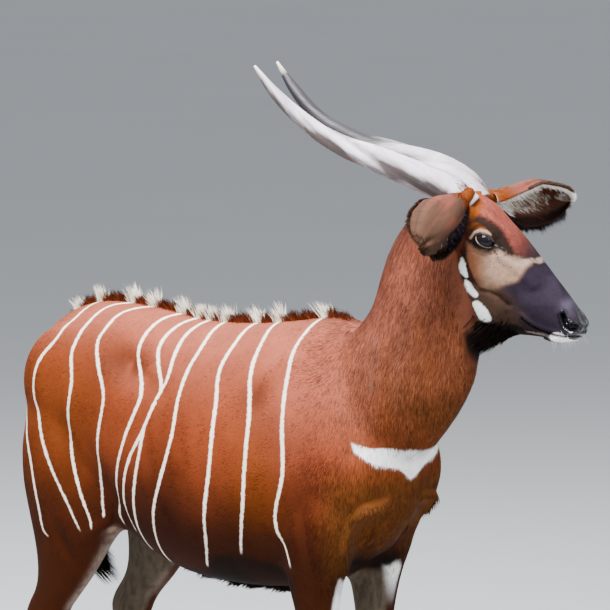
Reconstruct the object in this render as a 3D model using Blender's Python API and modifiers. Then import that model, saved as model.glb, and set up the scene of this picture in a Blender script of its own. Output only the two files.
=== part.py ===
"""A life-size standing bongo antelope, in solids.

The animal faces +X with its left side at +Y, stands square on four cloven feet at z = 0, and has
its head turned a little to its own left. The flesh is lofted from a few sections, melted into one
skin, and parted by thin cuts into torso, neck, head and legs. Ears, horns, eyes, hooves and tail
are solids of their own, and the long hair is flat tapered locks fused into what they grow from.
All sizes are in metres.
"""

import math
import random

import bmesh
import bpy
import numpy as np
from mathutils import Matrix, Vector
from mathutils.bvhtree import BVHTree

# Driving dimensions
GAP = 0.0003
# The beard stays further from the neck than the gap, so that no two cuts share a plane
BEARD_GAP = 4 * GAP
WELD_REACH = 0.00004
HEAD_TURN = math.radians(22)
HEAD_ORIGIN = Vector((0.60, 0.05, 0.0))
EYE_PLACE = (0.062, 0.062, 1.376)
EYE_RADIUS = 0.0205
LID_THICKNESS = 0.0038
HORN_THICKNESS = 0.029
EAR_LENGTH = 0.215
EAR_WIDTH = 0.145
EAR_WALL = 0.0045
EAR_BOW = 0.024
# Degrees that the ear's edges curl round: at the root, and how much they open towards the tip
EAR_ROLL, EAR_UNROLL = 150, 59
# Share of the ear's full width at shares of its length
EAR_OUTLINE = ((0.0, 0.15, 0.32, 0.50, 0.66, 0.80, 0.90, 0.97, 1.0),
               (0.46, 0.66, 0.93, 1.0, 0.96, 0.78, 0.54, 0.28, 0.10))
HOOF_HEIGHT = 0.052
HOOF_SPLIT = 0.0030
CREST_HEIGHT = 0.040
CREST_FROM, CREST_TO = -0.485, 0.325
BELLY_FRINGE = 0.056
BELLY_FROM, BELLY_TO = -0.150, 0.215
BEARD_LENGTH = 0.050
TUFT_LENGTH = 0.125
EAR_FRINGE = 0.024
EAR_ROOT_SIZE = (0.021, 0.021, 0.036)

# Where the beard's locks grow: along the jaw, and across it
BEARD_PLACES = ((0.030, -0.020), (0.034, 0.002), (0.030, 0.022), (0.056, -0.014), (0.056, 0.014),
                (0.080, -0.010), (0.080, 0.012), (0.106, 0.0))

# Width and thickness of one lock in each fringe, and how many locks the fringe has
CREST_LOCK = (0.066, 0.011)
BELLY_LOCK = (0.060, 0.011)
BEARD_LOCK = (0.048, 0.013)
TUFT_LOCK = (0.026, 0.010)
EAR_LOCK = (0.032, 0.006)
CREST_LOCKS = 27
BELLY_LOCKS = 10
TUFT_LOCKS = 8
EAR_LOCKS = 6
# Places along a lock, and its share of full width there
LOCK_SHAPE = ((-0.25, 0.90), (0.50, 1.00), (1.0, 0.30))

# How finely the flesh is melted together, and how many triangles each piece keeps
BODY_VOXEL = 0.010
HEAD_VOXEL = 0.0050
BODY_TRIANGLES = 4600
HEAD_TRIANGLES = 1350

# Flesh sections, each between a top point and a low point of the side view.
# Columns: top x, top z, low x, low z, half width, y of the middle, share of the depth above the
# widest place, power of the upper curve, power of the lower curve (2 is round, less is a ridge).
TORSO = (
    (-0.553, 0.990, -0.548, 0.880, 0.030, 0.0, 0.45, 2.0, 2.0),
    (-0.535, 1.078, -0.530, 0.820, 0.098, 0.0, 0.45, 2.0, 2.0),
    (-0.470, 1.144, -0.465, 0.790, 0.156, 0.0, 0.48, 2.0, 2.0),
    (-0.370, 1.172, -0.360, 0.745, 0.188, 0.0, 0.50, 2.1, 2.0),
    (-0.220, 1.169, -0.220, 0.648, 0.206, 0.0, 0.50, 2.2, 2.1),
    (-0.080, 1.154, -0.080, 0.600, 0.226, 0.0, 0.54, 2.1, 2.2),
    (0.060, 1.159, 0.060, 0.590, 0.232, 0.0, 0.56, 2.0, 2.2),
    (0.180, 1.174, 0.180, 0.597, 0.218, 0.0, 0.56, 1.9, 2.1),
    (0.280, 1.190, 0.275, 0.618, 0.195, 0.0, 0.54, 1.8, 2.0),
    (0.355, 1.180, 0.345, 0.655, 0.178, 0.0, 0.52, 1.8, 2.0),
    (0.425, 1.110, 0.415, 0.700, 0.158, 0.0, 0.50, 1.9, 2.0),
    (0.480, 1.020, 0.470, 0.765, 0.115, 0.0, 0.50, 2.0, 2.0),
    (0.503, 0.940, 0.498, 0.835, 0.040, 0.0, 0.50, 2.0, 2.0),
)
NECK = (
    (0.290, 1.120, 0.440, 0.840, 0.120, 0.000, 0.50, 1.8, 2.0),
    (0.352, 1.165, 0.520, 0.910, 0.118, 0.002, 0.52, 1.8, 2.0),
    (0.404, 1.230, 0.590, 0.995, 0.106, 0.008, 0.54, 1.9, 2.1),
    (0.420, 1.295, 0.625, 1.060, 0.098, 0.016, 0.54, 1.9, 2.1),
    (0.436, 1.350, 0.636, 1.125, 0.092, 0.026, 0.52, 2.0, 2.1),
    (0.470, 1.408, 0.645, 1.185, 0.084, 0.038, 0.50, 2.0, 2.0),
    (0.536, 1.452, 0.665, 1.245, 0.072, 0.048, 0.50, 2.0, 2.0),
    (0.630, 1.420, 0.680, 1.300, 0.040, 0.055, 0.50, 2.0, 2.0),
)
# The head's sections run along its own length, from the back of the skull to the nose.
HEAD = (
    (-0.045, 1.410, -0.020, 1.330, 0.030, 0.0, 0.50, 2.0, 2.0),
    (-0.025, 1.448, 0.000, 1.265, 0.058, 0.0, 0.42, 2.2, 2.0),
    (0.012, 1.465, 0.022, 1.208, 0.070, 0.0, 0.38, 2.4, 2.0),
    (0.053, 1.450, 0.046, 1.180, 0.074, 0.0, 0.34, 2.7, 1.9),
    (0.090, 1.413, 0.078, 1.176, 0.072, 0.0, 0.34, 2.7, 1.9),
    (0.128, 1.376, 0.112, 1.176, 0.061, 0.0, 0.38, 2.5, 1.9),
    (0.162, 1.337, 0.147, 1.175, 0.051, 0.0, 0.45, 2.4, 2.0),
    (0.193, 1.300, 0.180, 1.172, 0.044, 0.0, 0.52, 2.3, 2.1),
    (0.222, 1.264, 0.212, 1.168, 0.041, 0.0, 0.56, 2.3, 2.2),
    (0.243, 1.235, 0.238, 1.168, 0.040, 0.0, 0.55, 2.3, 2.3),
    (0.255, 1.214, 0.250, 1.174, 0.031, 0.0, 0.50, 2.2, 2.2),
    (0.262, 1.200, 0.257, 1.184, 0.010, 0.0, 0.50, 2.0, 2.0),
)
# Legs are level sections, from the front edge to the back edge, on the left side of the body.
FORE_LEG = (
    (0.440, 0.880, 0.250, 0.880, 0.050, 0.098, 0.50, 2.0, 2.0),
    (0.440, 0.780, 0.245, 0.780, 0.066, 0.106, 0.50, 2.0, 2.0),
    (0.420, 0.700, 0.247, 0.700, 0.062, 0.108, 0.50, 2.0, 2.0),
    (0.393, 0.630, 0.262, 0.630, 0.053, 0.107, 0.50, 2.0, 2.0),
    (0.377, 0.560, 0.281, 0.560, 0.045, 0.104, 0.50, 2.0, 2.0),
    (0.366, 0.480, 0.292, 0.480, 0.038, 0.102, 0.50, 2.0, 2.0),
    (0.361, 0.415, 0.296, 0.415, 0.034, 0.100, 0.50, 2.0, 2.0),
    (0.367, 0.368, 0.291, 0.368, 0.037, 0.099, 0.45, 2.3, 2.0),
    (0.359, 0.325, 0.294, 0.325, 0.033, 0.099, 0.50, 2.2, 2.0),
    (0.349, 0.280, 0.297, 0.280, 0.026, 0.098, 0.50, 2.0, 2.0),
    (0.344, 0.205, 0.298, 0.205, 0.022, 0.098, 0.50, 2.0, 2.0),
    (0.347, 0.148, 0.294, 0.148, 0.026, 0.098, 0.50, 2.0, 2.0),
    (0.354, 0.116, 0.288, 0.116, 0.032, 0.098, 0.50, 2.0, 2.0),
    (0.370, 0.084, 0.306, 0.084, 0.030, 0.098, 0.50, 2.0, 2.2),
    (0.388, 0.060, 0.322, 0.060, 0.034, 0.098, 0.45, 2.2, 2.4),
    (0.392, 0.040, 0.326, 0.040, 0.034, 0.098, 0.45, 2.2, 2.4),
)
HIND_LEG = (
    (-0.290, 1.000, -0.470, 1.000, 0.050, 0.100, 0.50, 2.0, 2.0),
    (-0.225, 0.890, -0.520, 0.890, 0.076, 0.114, 0.50, 2.0, 2.0),
    (-0.212, 0.790, -0.520, 0.790, 0.079, 0.122, 0.48, 2.0, 2.0),
    (-0.226, 0.705, -0.500, 0.705, 0.070, 0.126, 0.46, 2.0, 2.0),
    (-0.272, 0.635, -0.482, 0.635, 0.058, 0.127, 0.46, 2.0, 2.0),
    (-0.316, 0.575, -0.478, 0.575, 0.048, 0.125, 0.46, 2.0, 2.0),
    (-0.356, 0.530, -0.492, 0.530, 0.041, 0.123, 0.42, 2.0, 1.8),
    (-0.393, 0.490, -0.520, 0.490, 0.036, 0.120, 0.38, 2.1, 1.7),
    (-0.414, 0.455, -0.531, 0.455, 0.036, 0.118, 0.38, 2.2, 1.8),
    (-0.427, 0.415, -0.514, 0.415, 0.034, 0.117, 0.42, 2.2, 2.0),
    (-0.434, 0.350, -0.498, 0.350, 0.027, 0.116, 0.50, 2.0, 2.0),
    (-0.434, 0.260, -0.488, 0.260, 0.024, 0.115, 0.50, 2.0, 2.0),
    (-0.432, 0.170, -0.486, 0.170, 0.026, 0.114, 0.50, 2.0, 2.0),
    (-0.424, 0.122, -0.490, 0.122, 0.033, 0.113, 0.50, 2.0, 2.0),
    (-0.404, 0.086, -0.470, 0.086, 0.030, 0.113, 0.50, 2.0, 2.2),
    (-0.386, 0.060, -0.452, 0.060, 0.034, 0.113, 0.45, 2.2, 2.4),
    (-0.382, 0.040, -0.448, 0.040, 0.034, 0.113, 0.45, 2.2, 2.4),
)
# One claw of a hoof: the same columns, at the height of the sole, the wall and the coronet.
CLAW = (
    (0.062, 0.000, -0.040, 0.000, 0.0195, 0.0, 0.55, 1.5, 2.4),
    (0.060, 0.006, -0.040, 0.006, 0.0200, 0.0, 0.55, 1.5, 2.4),
    (0.047, 0.026, -0.036, 0.026, 0.0190, 0.0, 0.55, 1.7, 2.4),
    (0.032, HOOF_HEIGHT, -0.032, HOOF_HEIGHT, 0.0165, 0.0, 0.55, 1.9, 2.4),
)
FORE_HOOF = (0.357, 0.098)
HIND_HOOF = (-0.417, 0.113)
# How far each leg stands forward of its twin's place
STEP = {"fore": {-1.0: 0.0, 1.0: -0.022}, "hind": {-1.0: 0.0, 1.0: 0.036}}

# Muscles and bony swells on both sides: middle, radii and forward lean in degrees.
MUSCLES = (
    ((0.300, 0.092, 0.960), (0.100, 0.066, 0.175), -14),
    ((0.400, 0.094, 0.865), (0.088, 0.064, 0.115), 12),
    ((0.328, 0.110, 0.790), (0.102, 0.058, 0.110), 0),
    ((-0.365, 0.105, 0.990), (0.170, 0.078, 0.145), 0),
    ((-0.440, 0.098, 0.880), (0.090, 0.072, 0.140), 0),
    ((-0.275, 0.132, 0.750), (0.062, 0.046, 0.085), 20),
)
DEWCLAWS = (("fore", 0.286, 0.098, 0.104), ("hind", -0.486, 0.113, 0.110))
DEWCLAW_SIZE = (0.012, 0.009, 0.016)
DEWCLAW_SPREAD = 0.017
# On the head: brow above the eye, cheek, jaw corner, nose wing, chin and ear root.
HEAD_SWELLS = (
    ((0.066, 0.052, 1.394), (0.036, 0.022, 0.020), 40),
    ((0.060, 0.044, 1.262), (0.050, 0.026, 0.062), -15),
    ((0.098, 0.046, 1.330), (0.040, 0.018, 0.016), 38),
    ((0.235, 0.022, 1.206), (0.024, 0.018, 0.022), 40),
    ((0.205, 0.014, 1.176), (0.032, 0.018, 0.011), 0),
    ((0.012, 0.052, 1.422), (0.032, 0.030, 0.032), 0),
    ((0.010, 0.034, 1.452), (0.030, 0.028, 0.026), 0),
)

# Horn axis in the head's frame: along the head, out to the side, height, share of full thickness.
HORN = (
    (0.018, 0.036, 1.440, 1.02),
    (-0.014, 0.046, 1.474, 1.00),
    (-0.070, 0.062, 1.502, 0.97),
    (-0.130, 0.068, 1.523, 0.92),
    (-0.190, 0.060, 1.541, 0.83),
    (-0.245, 0.050, 1.557, 0.72),
    (-0.310, 0.046, 1.589, 0.62),
    (-0.360, 0.052, 1.627, 0.50),
    (-0.402, 0.060, 1.672, 0.36),
    (-0.439, 0.067, 1.722, 0.08),
)
HORN_TURNS = 1.0
HORN_KEEL = 0.30

# Tail dock from the rump down, then the tuft's middle line.
TAIL = (
    (-0.500, 0.000, 1.075, 0.030),
    (-0.545, 0.000, 1.055, 0.028),
    (-0.580, 0.002, 1.000, 0.024),
    (-0.592, 0.010, 0.920, 0.019),
    (-0.590, 0.022, 0.830, 0.016),
    (-0.580, 0.036, 0.750, 0.016),
    (-0.566, 0.048, 0.690, 0.018),
    (-0.556, 0.056, 0.640, 0.010),
)

# Colours as linear red, green, blue, with roughness
CHESTNUT = ((0.42, 0.125, 0.045), 0.85)
NECK_BROWN = ((0.27, 0.09, 0.035), 0.85)
FACE_BROWN = ((0.22, 0.09, 0.055), 0.80)
EAR_TAN = ((0.48, 0.26, 0.18), 0.80)
HORN_GREY = ((0.42, 0.36, 0.34), 0.45)
EYE_DARK = ((0.012, 0.009, 0.010), 0.06)
HOOF_BLACK = ((0.020, 0.017, 0.016), 0.50)
LEG_DARK = ((0.16, 0.055, 0.028), 0.85)
TAIL_DARK = ((0.20, 0.070, 0.035), 0.85)


def collection(name):
    """A collection linked to the scene."""
    made = bpy.data.collections.new(name)
    bpy.context.scene.collection.children.link(made)
    return made


def material(name, look):
    """A Principled material of one colour and roughness."""
    colour, roughness = look
    made = bpy.data.materials.new(name)
    made.use_nodes = True
    shader = made.node_tree.nodes["Principled BSDF"]
    shader.inputs["Base Color"].default_value = (*colour, 1.0)
    shader.inputs["Roughness"].default_value = roughness
    shader.inputs["Metallic"].default_value = 0.0
    return made


def add_mesh(name, points, faces, home):
    """A mesh object from points and faces."""
    mesh = bpy.data.meshes.new(name)
    mesh.from_pydata([tuple(p) for p in points], [], faces)
    mesh.validate()
    made = bpy.data.objects.new(name, mesh)
    home.objects.link(made)
    return made


def bake(piece):
    """Replace a piece's mesh by what its modifiers make of it."""
    graph = bpy.context.evaluated_depsgraph_get()
    graph.update()
    mesh = bpy.data.meshes.new_from_object(piece.evaluated_get(graph))
    piece.modifiers.clear()
    piece.data = mesh
    return piece


def smooth_rows(rows, steps):
    """Catmull-Rom curve through the rows, every column alike."""
    table = np.array(rows, dtype=float)
    padded = np.vstack([2 * table[0] - table[1], table, 2 * table[-1] - table[-2]])
    out = []
    for i in range(1, len(padded) - 2):
        a, b, c, d = padded[i - 1:i + 3]
        for t in np.linspace(0.0, 1.0, steps, endpoint=False):
            out.append(0.5 * (2 * b + (c - a) * t + (2 * a - 5 * b + 4 * c - d) * t ** 2
                              + (3 * b - a - 3 * c + d) * t ** 3))
    out.append(table[-1])
    return np.array(out)


def skin_rings(name, rings, home):
    """A closed skin over a row of rings, each end drawn to its middle."""
    count, around = len(rings), len(rings[0])
    points = [p for ring in rings for p in ring]
    points.append(np.mean(rings[0], axis=0))
    points.append(np.mean(rings[-1], axis=0))
    faces = []
    for i in range(count - 1):
        for j in range(around):
            k = (j + 1) % around
            faces.append((i * around + j, i * around + k, (i + 1) * around + k))
            faces.append((i * around + j, (i + 1) * around + k, (i + 1) * around + j))
    for j in range(around):
        k = (j + 1) % around
        faces.append((count * around, k, j))
        faces.append((count * around + 1, (count - 1) * around + j, (count - 1) * around + k))
    made = add_mesh(name, points, faces, home)
    face_outward(made)
    return made


def face_outward(piece):
    """Turn every face of a closed mesh outward."""
    work = bmesh.new()
    work.from_mesh(piece.data)
    bmesh.ops.recalc_face_normals(work, faces=work.faces)
    if work.calc_volume(signed=True) < 0:
        bmesh.ops.reverse_faces(work, faces=work.faces)
    work.to_mesh(piece.data)
    work.free()


def loft(name, rows, home, side=1.0, place=None, around=24, steps=4):
    """Flesh lofted through sections that lie between a top and a low point."""
    angles = np.linspace(0.0, 2 * math.pi, around, endpoint=False)
    rings = []
    for tx, tz, lx, lz, half, mid, share, upper, lower in smooth_rows(rows, steps):
        cx, cz = tx + share * (lx - tx), tz + share * (lz - tz)
        cos, sin = np.cos(angles), np.sin(angles)
        power = np.where(sin >= 0, upper, lower)
        wide = np.sign(cos) * np.abs(cos) ** (2 / power) * max(half, 0.001)
        tall = np.abs(sin) ** (2 / power)
        x = np.where(sin >= 0, cx + tall * (tx - cx), cx + tall * (lx - cx))
        z = np.where(sin >= 0, cz + tall * (tz - cz), cz + tall * (lz - cz))
        ring = np.stack([x, side * mid + wide, z], axis=1)
        rings.append(ring if place is None else np.array([place(p) for p in ring]))
    return skin_rings(name, rings, home)


def head_place(point):
    """World place of a point given along the head, across it and up."""
    along, across, height = point
    cos, sin = math.cos(HEAD_TURN), math.sin(HEAD_TURN)
    return Vector((HEAD_ORIGIN.x + along * cos - across * sin,
                   HEAD_ORIGIN.y + along * sin + across * cos, height))


def swell(name, middle, radii, lean, home, turn=0.0):
    """An ellipsoid that leans forward by some degrees."""
    bpy.ops.mesh.primitive_uv_sphere_add(segments=16, ring_count=10, radius=1.0)
    made = bpy.context.object
    made.name = name
    for owner in list(made.users_collection):
        owner.objects.unlink(made)
    home.objects.link(made)
    rotation = Matrix.Rotation(turn, 4, "Z") @ Matrix.Rotation(math.radians(lean), 4, "Y")
    made.data.transform(Matrix.Translation(Vector(middle)) @ rotation @ Matrix.Diagonal((*radii, 1.0)))
    return made


def join(name, pieces, home):
    """One object that holds the meshes of several pieces, which are removed."""
    work = bmesh.new()
    for piece in pieces:
        work.from_mesh(piece.data)
        bpy.data.objects.remove(piece)
    mesh = bpy.data.meshes.new(name)
    work.to_mesh(mesh)
    work.free()
    made = bpy.data.objects.new(name, mesh)
    home.objects.link(made)
    return made


def melt(piece, voxel, rounds, triangles):
    """Melt overlapping flesh into one smooth closed skin of about so many triangles."""
    remesh = piece.modifiers.new("melt", "REMESH")
    remesh.mode = "VOXEL"
    remesh.voxel_size = voxel
    smooth = piece.modifiers.new("smooth", "SMOOTH")
    smooth.factor = 0.5
    smooth.iterations = rounds
    bake(piece)
    thin = piece.modifiers.new("thin", "DECIMATE")
    thin.ratio = triangles / (2.0 * len(piece.data.polygons))
    thin.use_collapse_triangulate = True
    bake(piece)
    return largest(piece)


def islands(work):
    """The face groups of a mesh that hang together."""
    left, groups = set(work.faces), []
    while left:
        stack, group = [left.pop()], []
        while stack:
            face = stack.pop()
            group.append(face)
            for edge in face.edges:
                for other in edge.link_faces:
                    if other in left:
                        left.remove(other)
                        stack.append(other)
        groups.append(group)
    return groups


def largest(piece):
    """Keep only the largest closed surface of a piece."""
    work = bmesh.new()
    work.from_mesh(piece.data)
    groups = sorted(islands(work), key=lambda g: -sum(f.calc_area() for f in g))
    for group in groups[1:]:
        bmesh.ops.delete(work, geom=group, context="FACES")
    work.to_mesh(piece.data)
    work.free()
    return piece


def boolean(piece, other, operation, solver="EXACT"):
    """Apply one Boolean against another object."""
    step = piece.modifiers.new("shape", "BOOLEAN")
    step.operation = operation
    step.solver = solver
    step.object = other
    return bake(piece)


def hide_cutter(cutter):
    """Mark an object as a cutter and not a part."""
    cutter.hide_render = True
    cutter.display_type = "WIRE"
    return cutter


def cut_box(name, middle, normal, size, home):
    """A flat box whose thin way runs along a direction."""
    bpy.ops.mesh.primitive_cube_add(size=1.0)
    made = bpy.context.object
    made.name = name
    for owner in list(made.users_collection):
        owner.objects.unlink(made)
    home.objects.link(made)
    turn = Vector(normal).to_track_quat("Z", "Y").to_matrix().to_4x4()
    made.data.transform(Matrix.Translation(Vector(middle)) @ turn @ Matrix.Diagonal((*size, 1.0)))
    return hide_cutter(made)


def shifted(rows, step):
    """The same sections moved forward by a step."""
    return [(row[0] + step, row[1], row[2] + step, *row[3:]) for row in rows]


def flesh(parts_home):
    """The lofts and swells that make the body, as separate closed meshes."""
    pieces = [loft("torso_form", TORSO, parts_home, around=32),
              loft("neck_form", NECK, parts_home)]
    for side in (-1.0, 1.0):
        for leg, rows in (("fore", FORE_LEG), ("hind", HIND_LEG)):
            pieces.append(loft("leg_form", shifted(rows, STEP[leg][side]), parts_home, side, steps=3))
        for (x, y, z), radii, lean in MUSCLES:
            pieces.append(swell("muscle", (x, side * y, z), radii, lean, parts_home))
        for leg, x, y, z in DEWCLAWS:
            for offset in (-DEWCLAW_SPREAD, DEWCLAW_SPREAD):
                middle = (x + STEP[leg][side], side * y + offset, z)
                pieces.append(swell("dewclaw", middle, DEWCLAW_SIZE, 20, parts_home))
    return pieces


def head_flesh(parts_home):
    """The head's loft with its brows, cheeks, nose wings, chin and ear roots."""
    pieces = [loft("head_form", HEAD, parts_home, place=head_place, steps=5)]
    for side in (-1.0, 1.0):
        for (a, y, z), radii, lean in HEAD_SWELLS:
            middle = head_place((a, side * y, z))
            pieces.append(swell("swell", middle, radii, lean, parts_home, HEAD_TURN))
    return pieces


# Thin cuts that part the body: a middle, the way through the cut, and its reach across.
HEAD_CUT_AT = (-0.012, 0.0, 1.295)
HEAD_CUT_WAY = (0.980, 0.0, 0.200)
NECK_CUT = ((0.440, 0.0, 1.060), (0.806, 0.0, 0.591))
UPPER_CUTS = (
    ((0.330, 0.107, 0.586), (0.0, 0.0, 1.0), 0.20),
    ((-0.370, 0.125, 0.716), (0.423, 0.0, 0.906), 0.44),
)
LOWER_CUTS = (
    ("fore", (0.327, 0.099, 0.340), (0.0, 0.0, 1.0), 0.14),
    ("hind", (-0.472, 0.118, 0.400), (-0.10, 0.0, 0.995), 0.16),
)
CUT_ACROSS = 0.20
SOLE_OF_LEG = HOOF_HEIGHT + GAP


def head_cut_plane():
    """A point and a direction of the cut between head and neck."""
    point = head_place(HEAD_CUT_AT)
    along, across, up = HEAD_CUT_WAY
    way = head_place((along, across, up)) - head_place((0.0, 0.0, 0.0))
    return point, way.normalized()


def half_space(point, way, home):
    """A large box that holds everything on one side of a plane."""
    reach = 3.0
    return cut_box("half", point + way * (reach / 2), way, (reach, reach, reach), home)


def part_body(whole, cutters):
    """Cut the melted body into its pieces and return them as meshes by name."""
    point, way = head_cut_plane()
    boolean(whole, half_space(point - way * (GAP / 2), way, cutters), "DIFFERENCE")
    below = half_space(Vector((0.0, 0.0, SOLE_OF_LEG)), Vector((0.0, 0.0, -1.0)), cutters)
    boolean(whole, below, "DIFFERENCE")
    slabs = [cut_box("neck_slab", *NECK_CUT, (0.60, 0.60, GAP), cutters)]
    for side in (-1.0, 1.0):
        for (x, y, z), normal, reach in UPPER_CUTS:
            middle = (x, side * y, z)
            slabs.append(cut_box("upper_slab", middle, normal, (CUT_ACROSS, reach, GAP), cutters))
        for leg, (x, y, z), normal, reach in LOWER_CUTS:
            middle = (x + STEP[leg][side], side * y, z)
            slabs.append(cut_box("lower_slab", middle, normal, (reach, reach, GAP), cutters))
    for slab in slabs:
        boolean(whole, slab, "DIFFERENCE")


def split_islands(whole, seeds, home):
    """Give each separate piece of a mesh the name of the seed point nearest its middle."""
    work = bmesh.new()
    work.from_mesh(whole.data)
    found = {}
    for group in islands(work):
        corners = {v for f in group for v in f.verts}
        middle = sum((v.co for v in corners), Vector()) / len(corners)
        name = min(seeds, key=lambda n: (Vector(seeds[n]) - middle).length)
        if name in found and len(found[name]) > len(group):
            continue
        found[name] = group
    pieces = {}
    for name, group in found.items():
        index = {v: i for i, v in enumerate({v: 0 for f in group for v in f.verts})}
        points = [v.co.copy() for v in index]
        faces = [tuple(index[v] for v in f.verts) for f in group]
        pieces[name] = add_mesh(name, points, faces, home)
    work.free()
    bpy.data.objects.remove(whole)
    return pieces


def body_seeds():
    """A point near the middle of each piece of the parted body."""
    seeds = {"torso": (0.0, 0.0, 0.90), "neck": (0.53, 0.02, 1.15)}
    for side, word in ((-1.0, "right"), (1.0, "left")):
        seeds["foreleg_upper_" + word] = (0.325, side * 0.105, 0.46)
        seeds["foreleg_lower_" + word] = (0.330, side * 0.098, 0.18)
        seeds["hindleg_upper_" + word] = (-0.390, side * 0.125, 0.60)
        seeds["hindleg_lower_" + word] = (-0.450, side * 0.115, 0.20)
    return seeds


def eye_openings(head, cutters):
    """Lids over each eyeball, with an almond opening turned outward and forward."""
    a, y, z = EYE_PLACE
    for side in (-1.0, 1.0):
        middle = head_place((a, side * y, z))
        lid = swell("lid", middle, (EYE_RADIUS + LID_THICKNESS,) * 3, 0, cutters)
        boolean(head, lid, "UNION", "MANIFOLD")
        bpy.data.objects.remove(lid)
    for side in (-1.0, 1.0):
        middle = head_place((a, side * y, z))
        outward = head_place((a + 0.30, side * (y + 1.0), z + 0.10)) - middle
        ball = hide_cutter(swell("ball", middle, (EYE_RADIUS + GAP,) * 3, 0, cutters))
        boolean(head, ball, "DIFFERENCE", "MANIFOLD")
        lens = hide_cutter(swell("lens", (0.0, 0.0, 0.0), (0.0205, 0.0125, 0.030), 0, cutters))
        forward = head_place((0.86, 0.0, -0.50)) - head_place((0.0, 0.0, 0.0))
        third = outward.normalized()
        first = (forward - third * forward.dot(third)).normalized()
        second = third.cross(first)
        turn = Matrix((first, second, third)).transposed().to_4x4()
        lens.data.transform(Matrix.Translation(middle + third * (EYE_RADIUS + 0.004)) @ turn)
        boolean(head, lens, "DIFFERENCE", "MANIFOLD")


def surface_point(tree, a, z, side):
    """The head's surface at a place of its side view, looked at from one side."""
    start = head_place((a, side * 0.30, z))
    way = head_place((a, 0.0, z)) - start
    hit, normal, index, far = tree.ray_cast(start, way.normalized())
    return hit


def mouth_and_nostrils(head, cutters):
    """A groove along the lips on both sides and a slanting pit for each nostril."""
    tree = surface_tree(head)
    line = ((0.140, 1.2035), (0.160, 1.1975), (0.180, 1.1915), (0.200, 1.1865), (0.220, 1.1835),
            (0.240, 1.1830))
    for side in (-1.0, 1.0):
        points = [surface_point(tree, a, z, side) for a, z in line]
        points.append(head_place((0.2555, side * 0.010, 1.1835)))
        rings = []
        for i, point in enumerate(points):
            before, after = points[max(i - 1, 0)], points[min(i + 1, len(points) - 1)]
            along = (after - before).normalized()
            up = Vector((0.0, 0.0, 1.0))
            out = along.cross(up).normalized()
            tall = 0.0015 if i else 0.0008
            rings.append([point + out * (0.0035 * c) + up * (tall * s)
                          for c, s in ((1, 0), (0, 1), (-1, 0), (0, -1))])
        groove = hide_cutter(skin_rings("mouth_groove", [np.array(r) for r in rings], cutters))
        boolean(head, groove, "DIFFERENCE", "MANIFOLD")
        middle = surface_point(tree, 0.236, 1.2050, side)
        pit = swell("nostril_pit", (0.0, 0.0, 0.0), (0.0135, 0.0055, 0.0050), 38, cutters, HEAD_TURN)
        pit.data.transform(Matrix.Translation(middle))
        boolean(head, hide_cutter(pit), "DIFFERENCE", "MANIFOLD")


def make_head(grown_neck, home, cutters):
    """The head with its lids, mouth line, nostrils and beard, cut clear of the neck."""
    pieces = head_flesh(home) + [loft("neck_form", NECK, home)]
    head = join("head", pieces, home)
    point, way = head_cut_plane()
    melt(head, HEAD_VOXEL, 4, HEAD_TRIANGLES * 2)
    behind = half_space(point + way * (GAP / 2), -way, cutters)
    boolean(head, behind, "DIFFERENCE", "MANIFOLD")
    thin = head.modifiers.new("thin", "DECIMATE")
    thin.ratio = min(1.0, HEAD_TRIANGLES / max(1, sum(len(p.vertices) - 2 for p in head.data.polygons)))
    bake(head)
    boolean(head, half_space(point + way * (GAP / 2), -way, cutters), "DIFFERENCE", "MANIFOLD")
    eye_openings(head, cutters)
    mouth_and_nostrils(head, cutters)
    locks = beard_locks(surface_tree(head), home)
    for each in locks:
        largest(boolean(each, grown_neck, "DIFFERENCE", "MANIFOLD"))
    return fuse_locks(head, locks)


def swollen_copy(piece, gap, home):
    """A cutter that is a piece grown outward by a gap."""
    made = piece.copy()
    made.data = piece.data.copy()
    made.name = piece.name + "_grown"
    home.objects.link(made)
    grow = made.modifiers.new("grow", "DISPLACE")
    grow.strength = gap
    grow.mid_level = 0.0
    return hide_cutter(bake(made))


def ear_point(base, first, second, third, u, v):
    """A place on the ear's leaf: u runs to the tip, v across from edge to edge."""
    half = EAR_WIDTH / 2 * float(np.interp(u, *EAR_OUTLINE))
    spread = math.radians(EAR_ROLL - EAR_UNROLL * min(1.0, u / 0.45))
    radius = half / spread * 1.18
    bow = EAR_BOW * math.sin(math.pi * u)
    angle = v * spread
    return (base + first * (u * EAR_LENGTH) + second * (radius * math.sin(angle))
            + third * (radius * (1.0 - math.cos(angle)) - bow))


def ear_sheet(name, base, along, facing, home):
    """A cupped leaf on a grid: an arc across, wide in the middle and rolled shut at the root."""
    rows, columns = 9, 7
    first = along.normalized()
    third = (facing - first * facing.dot(first)).normalized()
    second = third.cross(first)
    points = [ear_point(base, first, second, third, i / (rows - 1), -1.0 + 2.0 * j / (columns - 1))
              for i in range(rows) for j in range(columns)]
    faces = [(i * columns + j, i * columns + j + 1, (i + 1) * columns + j + 1, (i + 1) * columns + j)
             for i in range(rows - 1) for j in range(columns - 1)]
    sheet = add_mesh(name, points, faces, home)
    wall = sheet.modifiers.new("wall", "SOLIDIFY")
    wall.thickness = EAR_WALL
    wall.offset = 0.0
    bake(sheet)
    face_outward(sheet)
    return sheet


EARS = {
    "right": ((0.020, -0.052, 1.466), (-0.168, -0.907, -0.386), (-0.824, 0.419, -0.382)),
    "left": ((0.030, 0.065, 1.454), (0.551, 0.831, -0.078), (0.516, -0.713, -0.474)),
}


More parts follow.
